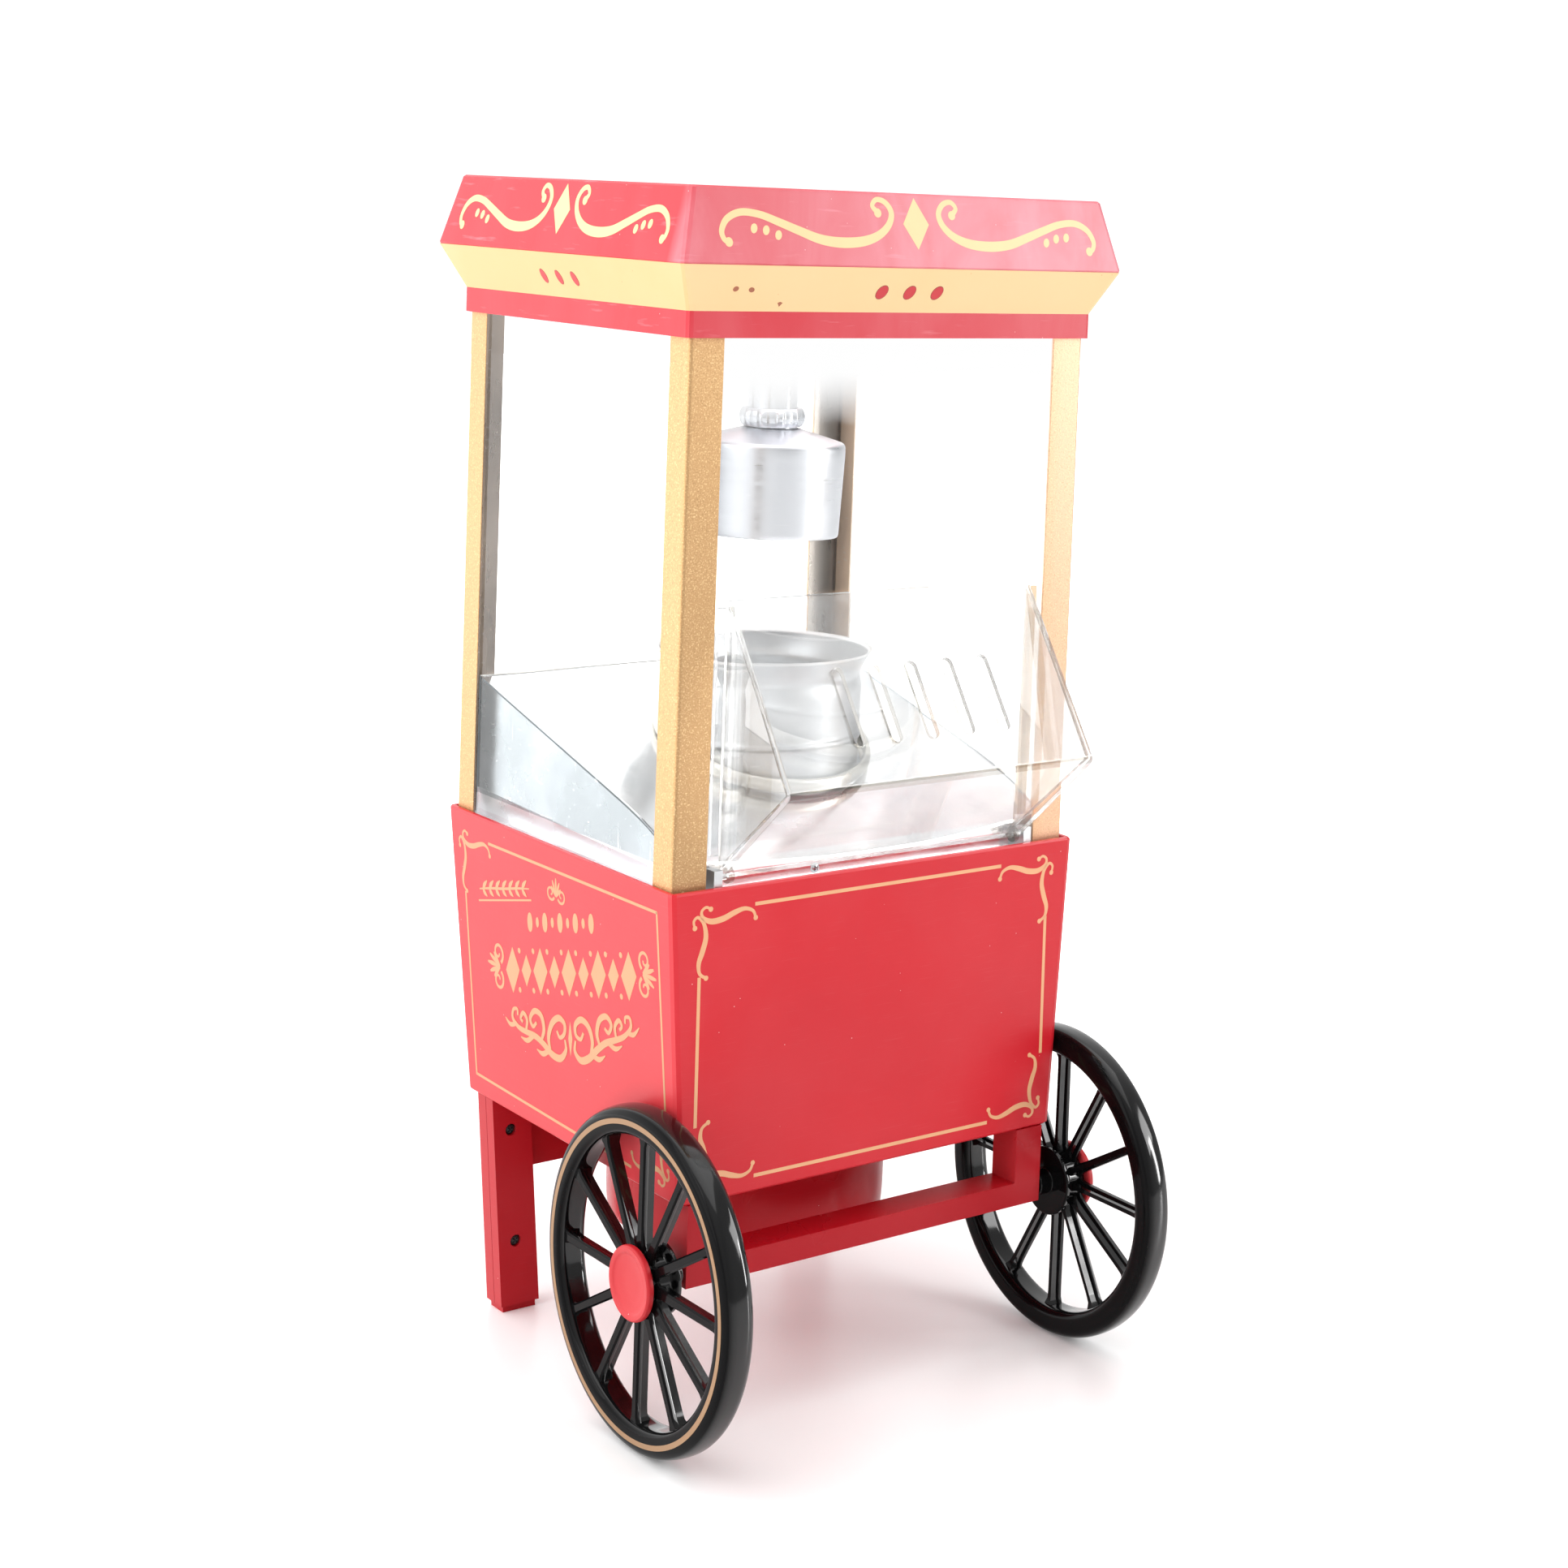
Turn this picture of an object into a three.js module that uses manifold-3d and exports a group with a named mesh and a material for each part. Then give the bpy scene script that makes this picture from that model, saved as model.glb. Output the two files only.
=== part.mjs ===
// Tabletop hot-air popcorn cart: a glazed cabinet on a red tub, carried by two spoked wheels and two legs.
// Millimetres, +Z up, door towards -Y. The cabinet axis is x = 0, y = 0 until the last step shifts the whole
// cart so that the origin lies on the floor under the middle of its bounding box.
import * as THREE from "three";
import { mergeVertices } from "three/addons/utils/BufferGeometryUtils.js";
import Module from "manifold-3d";

const wasm = await Module();
wasm.setup();

// ---------------------------------------------------------------- driving dimensions

// Footprint of the cabinet, to the outer faces of its corner posts.
const cabinetHalfX = 99.6;
const cabinetHalfY = 88.6;

// Heights above the floor.
const tubBottomZ = 96.6;
const tubRimZ = 222.7;
const deckBottomZ = 216.9;
const deckTopZ = 219.5;
const collarBottomZ = 440.9;
const collarTopZ = 451.4;
const roofEdgeZ = 469.8;
const roofTopZ = 500;

// Tub, outside faces. The front stands almost upright while the sides and the back lean in.
const tubTop = { halfX: 102.6, front: -93.1, rear: 91.6 };
const tubBase = { halfX: 95.1, front: -94.6, rear: 80 };
const tubCornerRadius = 2.5;
const tubRimWall = 2.4;
const tubWall = 3.8;
const tubFloorThickness = 3;
const tubEdgeInset = 0.9;
const deckGap = 0.5;
const roomCornerRadius = 0.4;

// Canopy.
const roofEdgeOut = 11.1;
const roofTopOut = 4.2;
const collarOut = 2.2;
const canopyWall = 1.9;
const canopyCornerRadius = 2.2;
const ceilingThickness = 2.4;

// Feed opening in the roof and the measuring cup that closes it.
const feedOpeningRadius = 18;
const cupLip = 1.1;
const cupDepth = 22;
const cupWall = 1.2;

// Corner posts and glazing.
const postWideFlange = 16;
const postSideFlange = 14.3;
const postThickness = 1.2;
const postTopZ = collarTopZ - ceilingThickness;
const paneThickness = 2;
const paneGap = 0.2;
const paneSideMargin = 1.8;

// Door: a bent clear panel that leans out to a ridge and comes back to its hinge line.
const doorHalfX = 76.5;
const doorHinge = { y: -88, z: 226.4 };
const doorRidge = { y: -134, z: 267.2 };
const doorTop = { y: -86, z: 336.2 };
const doorThickness = 2.2;
const doorFlange = 5;
const doorFlangeLift = 8;
const doorLugRadius = 3.6;
const doorPinRadius = 1.4;
const doorPinBore = 1.7;
const ventCount = 5;
const ventPitch = 18.4;
const ventLowZ = 281;
const ventHighZ = 309;
const ventWidth = 5;

// Popping parts on the cabinet axis.
const boreRadius = 43.6;
const potRimRadius = 47.4;
const potRimZ = 300;
const potBodyRadius = 42.6;
const potFootZ = 233;
const hoodBottomZ = 350;
const hoodTopZ = 396.6;
const hoodRimZ = 391;
const hoodShoulderRadius = 32.6;
const hoodMouthRadius = 31.4;
const neckRadius = 10.9;
const neckFootReach = 3;
const neckFootHeight = 2.2;
const clampBottomZ = hoodTopZ + 0.4;
const clampHeight = 8;
const clampLobes = 10;
const neckNutReach = 3.4;
const neckNutHeight = 3;
const sheet = 1;

// Tray.
const trayHalfX = 94;
const trayRear = { y: 82, z: 281 };
const trayBend = { y: -62, z: 243.5 };
const trayLip = { y: -82, z: 233 };
const traySag = 6.5;
const traySagStartY = 35;
const traySagFullY = -55;
const creaseFrontZ = 227;
const creaseRearZ = 232;
const trayScrewX = -27;
const trayScrewZ = 222.6;

// Running gear.
const wheelRadius = 68.5;
const wheelOuterX = 112.4;
const wheelInnerX = 99;
const wheelAxisY = -89.5;
const rimInnerRadius = 57;
const spokeCount = 12;
const hubRadius = 12.5;
const hubFlangeRadius = 15;
const capRadius = 15;
const axleRadius = 2.8;
const hubBore = 3.1;
const hubBossRadius = 5.4;
const hubInnerX = 91.9;
const spokeBackX = 104.1;
const spokeStepX = 107.2;
const spokeFrontX = 109.8;
const spokeFinHalf = 0.9;
const spokeRibHalf = 2.2;
const frameHalfX = 90.8;
const framePostWidth = 14;
const frameFrontY = -94.8;
const frameDepth = 15.8;
const frameBarBottomZ = 62.9;
const frameBarTopZ = 73;

// Legs, measured at the underside of the tub; they lean the way the tub does.
const legOuterX = 93.6;
const legWidth = 18.6;
const legFrontY = 60.4;
const legRearY = 73.6;
const legSplitY = 66.8;
const legLeanX = 0.055;
const legLeanY = 0.045;
const footHeight = 3;
const legScrewZ = [81.5, 31.5];
const legScrewX = legOuterX - 8.4;
const legCoverGap = 0.3;
const apronBottomZ = 60.6;
const apronFrontY = 67;
const apronRearY = 71.4;
const apronHalfX = 77;
const apronTabX = 66;

// Drive housed in the drum.
const drumRadius = 61;
const drumBottomZ = 47;
const motorRadius = 19;
const fanRadius = 44;
const shaftRadius = 2;
const motorBottomZ = 56;
const motorTopZ = 84;
const fanBottomZ = 104;
const chamberBottomZ = 146;
const chamberTopZ = 234.5;

// Mains switch and power cord on the back of the tub.
const switchX = 52;
const switchZ = 178;
const switchHalfX = 6.6;
const switchHalfZ = 9.6;
const bezelBorder = 2.4;
const bezelThickness = 1.6;
const bezelGap = 0.3;
const rockerHalfX = 4.6;
const rockerHalfZ = 7.6;
const rockerPivotInset = 2.2;
const cordX = -40;
const cordZ = 122;
const cordHoleRadius = 4.4;
const cordRadius = 2.6;

// Segments of a plain round.
const round = 28;

// ---------------------------------------------------------------- materials

function finish(color, roughness, metalness) {
  return new THREE.MeshStandardMaterial({ color, roughness, metalness });
}
const red = finish(0xb81d2c, 0.38, 0);
const cream = finish(0xf3d9a4, 0.45, 0);
const bronze = finish(0xb48a56, 0.42, 0.8);
const blackGloss = finish(0x0c0c0d, 0.18, 0);
const blackMatte = finish(0x1c1c1e, 0.7, 0);
const aluminium = finish(0xc9ccd0, 0.32, 1);
const steel = finish(0x9fa3a8, 0.3, 1);
const clear = finish(0xe6eef2, 0.08, 0);
clear.transparent = true;
clear.opacity = 0.3;
const copper = finish(0xb0603a, 0.4, 0.9);

// ---------------------------------------------------------------- solids

const cart = new THREE.Group();
cart.name = "popcorn_cart";

// Signed volume of an indexed geometry, positive when its faces point outwards.
function signedVolume(geometry) {
  const point = geometry.getAttribute("position");
  const index = geometry.index;
  const a = new THREE.Vector3();
  const b = new THREE.Vector3();
  const c = new THREE.Vector3();
  let sum = 0;
  for (let i = 0; i < index.count; i += 3) {
    a.fromBufferAttribute(point, index.getX(i));
    b.fromBufferAttribute(point, index.getX(i + 1));
    c.fromBufferAttribute(point, index.getX(i + 2));
    sum += a.dot(b.cross(c));
  }
  return sum;
}

function solid(geometry) {
  const bare = new THREE.BufferGeometry();
  bare.setAttribute("position", geometry.getAttribute("position").clone());
  if (geometry.index) bare.setIndex(geometry.index.clone());
  const merged = mergeVertices(bare, 1e-4);
  const outward = signedVolume(merged) > 0;
  const triVerts = new Uint32Array(merged.index.array);
  if (!outward) triVerts.reverse();
  const vertProperties = new Float32Array(merged.getAttribute("position").array);
  return new wasm.Manifold(new wasm.Mesh({ numProp: 3, vertProperties, triVerts }));
}

function union(first, ...others) {
  return others.reduce((whole, next) => whole.add(next), first);
}

function cut(body, ...tools) {
  return tools.reduce((whole, tool) => whole.subtract(tool), body);
}

function geometryOf(body) {
  const made = body.getMesh();
  const geometry = new THREE.BufferGeometry();
  geometry.setAttribute("position", new THREE.BufferAttribute(new Float32Array(made.vertProperties), 3));
  geometry.setIndex(new THREE.BufferAttribute(new Uint32Array(made.triVerts), 1));
  return geometry;
}

function add(name, body, material, parent = cart) {
  const geometry = geometryOf(body);
  geometry.computeVertexNormals();
  const mesh = new THREE.Mesh(geometry, material);
  mesh.name = name;
  parent.add(mesh);
}

function addGroup(x, y, z) {
  const group = new THREE.Group();
  group.position.set(x, y, z);
  cart.add(group);
  return group;
}

// The body again, turned by degrees about X, Y and Z and then moved.
function placed(body, [turnX, turnY, turnZ], [x, y, z] = [0, 0, 0]) {
  const turn = new THREE.Euler(...[turnX, turnY, turnZ].map(THREE.MathUtils.degToRad));
  const matrix = new THREE.Matrix4().makeRotationFromEuler(turn).setPosition(x, y, z);
  return solid(geometryOf(body).applyMatrix4(matrix));
}

function mirrored(body) {
  return solid(geometryOf(body).applyMatrix4(new THREE.Matrix4().makeScale(-1, 1, 1)));
}

function box(x0, x1, y0, y1, z0, z1) {
  const geometry = new THREE.BoxGeometry(x1 - x0, y1 - y0, z1 - z0);
  geometry.translate((x0 + x1) / 2, (y0 + y1) / 2, (z0 + z1) / 2);
  return solid(geometry);
}

// A rod along the given axis between two positions on it; `at` holds the other two coordinates in order.
function rod(axis, radius, from, to, at = [0, 0], segments = round) {
  const geometry = new THREE.CylinderGeometry(radius, radius, to - from, segments);
  geometry.translate(0, (from + to) / 2, 0);
  if (axis === "x") geometry.rotateZ(-Math.PI / 2).translate(0, at[0], at[1]);
  if (axis === "y") geometry.translate(at[0], 0, at[1]);
  if (axis === "z") geometry.rotateX(Math.PI / 2).translate(at[0], at[1], 0);
  return solid(geometry);
}

// Turned shape about the Z axis from [radius, z] pairs.
function turned(profile, segments = round) {
  const geometry = new THREE.LatheGeometry(profile.map(([r, z]) => new THREE.Vector2(r, z)), segments);
  geometry.rotateX(Math.PI / 2);
  return solid(geometry);
}

// Turned shape about the X axis from [radius, x] pairs.
function turnedAboutX(profile, segments) {
  const geometry = new THREE.LatheGeometry(profile.map(([r, x]) => new THREE.Vector2(r, x)), segments);
  geometry.rotateZ(-Math.PI / 2);
  return solid(geometry);
}

// Closed thin-walled profile: the outside line from bottom to top, then the same line moved in by the wall.
function walled(outside, wall) {
  const inside = outside.map(([r, z]) => [r - wall, z]).reverse();
  return [...outside, ...inside, outside[0]];
}

// Prism from a closed outline, drawn in the plane that is square to the axis, between two positions on it.
// Outlines are [y, z] for x, [x, z] for y and [x, y] for z.
function prism(axis, outline, from, to, hole) {
  const shape = new THREE.Shape(outline.map(([a, b]) => new THREE.Vector2(a, b)));
  if (hole) shape.holes.push(new THREE.Path(hole.map(([a, b]) => new THREE.Vector2(a, b))));
  const geometry = new THREE.ExtrudeGeometry(shape, { depth: to - from, bevelEnabled: false });
  const x = new THREE.Vector3(1, 0, 0);
  const y = new THREE.Vector3(0, 1, 0);
  const z = new THREE.Vector3(0, 0, 1);
  const turn = new THREE.Matrix4();
  if (axis === "x") turn.makeBasis(y, z, x).setPosition(from, 0, 0);
  if (axis === "y") turn.makeBasis(x, z, y.clone().negate()).setPosition(0, to, 0);
  if (axis === "z") turn.setPosition(0, 0, from);
  geometry.applyMatrix4(turn);
  return solid(geometry);
}

// Closed outline of a strip of even thickness that follows a bent centre line.
function strip(line, thickness) {
  const left = [];
  const right = [];
  for (let i = 0; i < line.length; i += 1) {
    const here = new THREE.Vector2(...line[i]);
    const before = i > 0 ? here.clone().sub(new THREE.Vector2(...line[i - 1])).normalize() : null;
    const after = i < line.length - 1 ? new THREE.Vector2(...line[i + 1]).sub(here).normalize() : null;
    const along = (before || after).clone().add(after || before).normalize();
    const across = new THREE.Vector2(-along.y, along.x);
    const square = new THREE.Vector2(-(before || after).y, (before || after).x);
    const reach = thickness / 2 / across.dot(square);
    left.push([here.x + across.x * reach, here.y + across.y * reach]);
    right.unshift([here.x - across.x * reach, here.y - across.y * reach]);
  }
  return [...left, ...right];
}

// Points of a rectangle with rounded corners, counter-clockwise seen from above.
function roundedRing(size, radius, steps = 2) {
  const corners = [
    [size.halfX - radius, size.front + radius, -Math.PI / 2],
    [size.halfX - radius, size.rear - radius, 0],
    [-size.halfX + radius, size.rear - radius, Math.PI / 2],
    [-size.halfX + radius, size.front + radius, Math.PI],
  ];
  const ring = [];
  for (const [x, y, start] of corners) {
    for (let i = 0; i <= steps; i += 1) {
      const angle = start + (i / steps) * (Math.PI / 2);
      ring.push([x + radius * Math.cos(angle), y + radius * Math.sin(angle)]);
    }
  }
  return ring;
}

// Skin through a stack of rings with equal point counts, closed at both ends.
function loft(levels) {
  const count = levels[0].ring.length;
  const points = levels.flatMap(({ ring, z }) => ring.flatMap(([x, y]) => [x, y, z]));
  const faces = [];
  for (let level = 0; level + 1 < levels.length; level += 1) {
    for (let i = 0; i < count; i += 1) {
      const a = level * count + i;
      const b = level * count + ((i + 1) % count);
      faces.push(a, b, b + count, a, b + count, a + count);
    }
  }
  const flat = levels[0].ring.map(([x, y]) => new THREE.Vector2(x, y));
  const last = (levels.length - 1) * count;
  for (const [a, b, c] of THREE.ShapeUtils.triangulateShape(flat, [])) {
    faces.push(c, b, a, last + a, last + b, last + c);
  }
  const geometry = new THREE.BufferGeometry();
  geometry.setAttribute("position", new THREE.Float32BufferAttribute(points, 3));
  geometry.setIndex(faces);
  return solid(geometry);
}

function mix(a, b, share) {
  return a + (b - a) * share;
}

function inset(size, by) {
  return { halfX: size.halfX - by, front: size.front + by, rear: size.rear - by };
}

function around(out) {
  return { halfX: cabinetHalfX + out, front: -cabinetHalfY - out, rear: cabinetHalfY + out };
}

// ---------------------------------------------------------------- tub and deck

function tubSizeAt(z) {
  const share = (z - tubBottomZ) / (tubRimZ - tubBottomZ);
  return {
    halfX: mix(tubBase.halfX, tubTop.halfX, share),
    front: mix(tubBase.front, tubTop.front, share),
    rear: mix(tubBase.rear, tubTop.rear, share),
  };
}

function tubRing(z, by, radius = tubCornerRadius) {
  return { z, ring: roundedRing(inset(tubSizeAt(z), by), radius) };
}

function addTub() {
  const outside = loft([
    tubRing(tubBottomZ, tubEdgeInset),
    tubRing(tubBottomZ + tubEdgeInset, 0),
    tubRing(tubRimZ - tubEdgeInset, 0),
    tubRing(tubRimZ, tubEdgeInset / 2),
  ]);
  const floorZ = tubBottomZ + tubFloorThickness;
  const lowerRoom = loft([tubRing(floorZ, tubWall), tubRing(deckBottomZ + 1, tubWall)]);
  const rimRoom = loft([
    tubRing(deckBottomZ, tubRimWall, roomCornerRadius),
    tubRing(tubRimZ + 1, tubRimWall, roomCornerRadius),
  ]);
  const well = rod("z", drumRadius - 5, tubBottomZ - 1, floorZ + 1);
  const switchHole = prism("y", rectangle(switchX, switchZ, switchHalfX, switchHalfZ), 60, 110);
  const cordHole = rod("y", cordHoleRadius, 60, 110, [cordX, cordZ], 20);
  add("tub", cut(outside, lowerRoom, rimRoom, well, switchHole, cordHole), red);
}

function rectangle(x, z, halfX, halfZ) {
  return [
    [x - halfX, z - halfZ],
    [x + halfX, z - halfZ],
    [x + halfX, z + halfZ],
    [x - halfX, z + halfZ],
  ];
}

function addDeck() {
  const size = inset(tubSizeAt(deckBottomZ), tubRimWall + deckGap);
  const plate = loft([
    { z: deckBottomZ, ring: roundedRing(size, roomCornerRadius, 1) },
    { z: deckTopZ, ring: roundedRing(size, roomCornerRadius, 1) },
  ]);
  add("tub_deck", cut(plate, rod("z", potRimRadius, deckBottomZ - 1, deckTopZ + 1)), steel);
}

// ---------------------------------------------------------------- rear switch and power cord

function rearFaceY(z) {
  return tubSizeAt(z).rear;
}

function addSwitch() {
  const face = rearFaceY(switchZ + switchHalfZ + bezelBorder);
  const frontY = face + bezelGap;
  const rim = prism(
    "y",
    rectangle(switchX, switchZ, switchHalfX + bezelBorder, switchHalfZ + bezelBorder),
    frontY,
    frontY + bezelThickness,
  );
  const sleeve = prism(
    "y",
    rectangle(switchX, switchZ, switchHalfX - bezelGap, switchHalfZ - bezelGap),
    frontY - 14,
    frontY + bezelThickness,
  );
  const room = prism(
    "y",
    rectangle(switchX, switchZ, rockerHalfX + 0.6, rockerHalfZ + 0.6),
    frontY - 11,
    frontY + bezelThickness + 1,
  );
  add("switch_bezel", cut(union(rim, sleeve), room), blackMatte);

  const pivotY = frontY - rockerPivotInset;
  const crown = [
    [pivotY - 1.5, switchZ - rockerHalfZ + 2.2],
    [pivotY + 4.6, switchZ - rockerHalfZ + 0.4],
    [pivotY + 3.4, switchZ],
    [pivotY + 4.6, switchZ + rockerHalfZ - 0.4],
    [pivotY - 1.5, switchZ + rockerHalfZ - 2.2],
  ];
  add("switch_rocker", prism("x", crown, switchX - rockerHalfX, switchX + rockerHalfX), red);
}

function addCord() {
  const wallY = rearFaceY(cordZ);
  const bushing = turned(
    [
      [0, 0],
      [cordHoleRadius - 0.4, 0],
      [cordHoleRadius - 0.4, 6],
      [6, 6],
      [6, 7.4],
      [4.4, 10.4],
      [0, 10.4],
    ],
    16,
  );
  const along = placed(bushing, [-90, 0, 0], [cordX, wallY - 5.2, cordZ]);
  const bore = rod("y", cordRadius + 0.4, wallY - 10, wallY + 20, [cordX, cordZ], 16);
  add("strain_relief", cut(along, bore), blackMatte);

  // The cord leaves the bushing, runs in a hank of flattened loops against the back and ends in the plug.
  const outY = wallY + 11.6;
  const points = [
    [cordX, wallY - 12, cordZ],
    [cordX, wallY - 3, cordZ],
    [cordX, wallY + 6.5, cordZ],
    [cordX + 4, outY, cordZ - 1],
    [cordX + 14, outY, cordZ - 3],
    [cordX + 66, outY, cordZ - 3],
    [cordX + 76, outY, cordZ + 8],
    [cordX + 66, outY, cordZ + 19],
    [cordX + 20, outY, cordZ + 19],
    [cordX + 6, outY, cordZ + 29],
    [cordX + 20, outY, cordZ + 39],
    [cordX + 60, outY, cordZ + 39],
  ].map(([x, y, z]) => new THREE.Vector3(x, y, z));
  const path = new THREE.CatmullRomCurve3(points, false, "centripetal");
  const profile = new THREE.Shape();
  profile.absarc(0, 0, cordRadius, 0, Math.PI * 2);
  const options = { steps: 44, extrudePath: path, curveSegments: 3, bevelEnabled: false };
  const tube = new THREE.ExtrudeGeometry(profile, options);
  add("power_cord", solid(tube), blackMatte);

  const tipX = cordX + 60.3;
  const plugZ = cordZ + 39;
  const grip = prism(
    "x",
    [
      [outY - 4.6, plugZ - 7],
      [outY + 4.8, plugZ - 9],
      [outY + 4.8, plugZ + 9],
      [outY - 4.6, plugZ + 7],
    ],
    tipX,
    tipX + 19,
  );
  const pins = [-4.5, 4.5].map((side) =>
    box(tipX + 18, tipX + 33, outY - 0.9, outY + 0.9, plugZ + side - 2, plugZ + side + 2),
  );
  add("power_plug", union(grip, ...pins), blackMatte);
}

// ---------------------------------------------------------------- cabinet

function addPosts() {
  const outerX = cabinetHalfX;
  const outerY = cabinetHalfY;
  const outline = [
    [outerX, outerY],
    [outerX - postWideFlange, outerY],
    [outerX - postWideFlange, outerY - postThickness],
    [outerX - postThickness, outerY - postThickness],
    [outerX - postThickness, outerY - postSideFlange],
    [outerX, outerY - postSideFlange],
  ];
  for (const [sideX, nameX] of [[-1, "left"], [1, "right"]]) {
    for (const [sideY, nameY] of [[-1, "front"], [1, "rear"]]) {
      const own = outline.map(([x, y]) => [x * sideX, y * sideY]);
      add(`post_${nameY}_${nameX}`, prism("z", own, deckTopZ, postTopZ), bronze);
    }
  }
}

function addPanes() {
  const faceX = cabinetHalfX - postThickness - paneGap;
  const faceY = cabinetHalfY - postThickness - paneGap;
  const endY = faceY - paneThickness - paneGap;
  const topZ = postTopZ - paneGap;
  const bottomZ = deckTopZ;
  add("pane_left", box(-faceX, -faceX + paneThickness, -endY, endY, bottomZ, topZ), clear);
  add("pane_right", box(faceX - paneThickness, faceX, -endY, endY, bottomZ, topZ), clear);
  add("pane_rear", box(-faceX, faceX, faceY - paneThickness, faceY, bottomZ, topZ), clear);
  const upperZ = doorTop.z + paneSideMargin;
  add("pane_front", box(-faceX, faceX, -faceY, -faceY + paneThickness, upperZ, topZ), clear);
}

// ---------------------------------------------------------------- door

// The door is drawn from its hinge line, so its group turns about that line.
function addDoor() {
  const group = addGroup(0, doorHinge.y, doorHinge.z);
  const line = [doorHinge, doorRidge, doorTop].map(({ y, z }) => [y - doorHinge.y, z - doorHinge.z]);
  const panel = prism("x", strip(line, doorThickness), -doorHalfX, doorHalfX);
  const innerX = doorHalfX - doorThickness;
  const cheek = union(
    prism("x", line, innerX, doorHalfX),
    rod("x", doorLugRadius, innerX, doorHalfX, [0, 0], 24),
    box(
      innerX,
      doorHalfX + doorFlange,
      doorTop.y - doorHinge.y - doorThickness,
      doorTop.y - doorHinge.y,
      doorFlangeLift,
      doorTop.z - doorHinge.z - doorThickness,
    ),
  );
  const bore = rod("x", doorPinBore, -doorHalfX - 2, doorHalfX + 2, [0, 0], 20);
  const vents = [];
  for (let i = 0; i < ventCount; i += 1) vents.push(ventSlot((i - (ventCount - 1) / 2) * ventPitch));
  add("door", cut(union(panel, cheek, mirrored(cheek)), bore, ...vents), clear, group);
}

// Cutter for one round-ended slot that runs up the slope of the upper panel.
function ventSlot(x) {
  const run = doorTop.y - doorRidge.y;
  const rise = doorTop.z - doorRidge.z;
  const lean = Math.atan2(run, rise);
  const halfLength = (ventHighZ - ventLowZ) / Math.cos(lean) / 2 - ventWidth / 2;
  const outline = [];
  const steps = 4;
  for (const end of [1, -1]) {
    for (let i = 0; i <= steps; i += 1) {
      const angle = (i / steps) * Math.PI + (end > 0 ? 0 : Math.PI);
      const half = ventWidth / 2;
      outline.push([half * Math.cos(angle), end * halfLength + half * Math.sin(angle)]);
    }
  }
  const middleZ = (ventLowZ + ventHighZ) / 2;
  const middleY = doorRidge.y + (run * (middleZ - doorRidge.z)) / rise;
  const reach = 4;
  const turn = [-THREE.MathUtils.radToDeg(lean), 0, 0];
  return placed(prism("y", outline, -reach, reach), turn, [x, middleY - doorHinge.y, middleZ - doorHinge.z]);
}

// Brackets on the deck whose pins carry the door.
function addDoorHinges() {
  const nearX = doorHalfX + 0.6;
  const foot = box(nearX, nearX + 4, doorHinge.y - 2.4, doorHinge.y + 3.4, deckTopZ, doorHinge.z + 2.8);
  const pin = rod("x", doorPinRadius, doorHalfX - doorThickness, nearX + 1, [doorHinge.y, doorHinge.z], 20);
  const bracket = union(foot, pin);
  add("door_hinge_right", bracket, steel);
  add("door_hinge_left", mirrored(bracket), steel);
}

// ---------------------------------------------------------------- canopy

function canopyRing(z, out, shrink = 0) {
  const radius = shrink < canopyWall ? canopyCornerRadius : roomCornerRadius;
  return { z, ring: roundedRing(inset(around(out), shrink), radius) };
}

function addCanopy() {
  const collar = loft([canopyRing(collarBottomZ, collarOut), canopyRing(collarTopZ, collarOut)]);
  const collarRoom = loft([
    canopyRing(collarBottomZ - 1, collarOut, canopyWall),
    canopyRing(collarTopZ + 1, collarOut, canopyWall),
  ]);
  add("canopy_collar", cut(collar, collarRoom), red);

  const band = loft([canopyRing(collarTopZ, collarOut), canopyRing(roofEdgeZ, roofEdgeOut)]);
  const bandSlope = (roofEdgeOut - collarOut) / (roofEdgeZ - collarTopZ);
  const bandRoom = loft([
    canopyRing(collarTopZ - 1, collarOut - bandSlope, canopyWall),
    canopyRing(roofEdgeZ + 1, roofEdgeOut + bandSlope, canopyWall),
  ]);
  add("canopy_band", cut(band, bandRoom), cream);

  const edgeRound = 0.8;
  const roof = loft([
    canopyRing(roofEdgeZ, roofEdgeOut, 0.3),
    canopyRing(roofEdgeZ + edgeRound, roofEdgeOut),
    canopyRing(roofTopZ - edgeRound, roofTopOut),
    canopyRing(roofTopZ, roofTopOut, edgeRound),
  ]);
  const roofRoom = loft([
    canopyRing(roofEdgeZ - 1, roofEdgeOut, canopyWall),
    canopyRing(roofTopZ - canopyWall, roofTopOut, canopyWall),
  ]);
  const opening = rod("z", feedOpeningRadius, roofTopZ - 10, roofTopZ + 1);
  add("canopy_roof", cut(roof, roofRoom, opening), red);

  const ceiling = loft([
    canopyRing(postTopZ, collarOut, canopyWall + 0.3),
    canopyRing(collarTopZ, collarOut, canopyWall + 0.3),
  ]);
  add("canopy_ceiling", cut(ceiling, rod("z", neckRadius + 0.4, postTopZ - 1, collarTopZ + 1)), aluminium);
}

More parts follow.
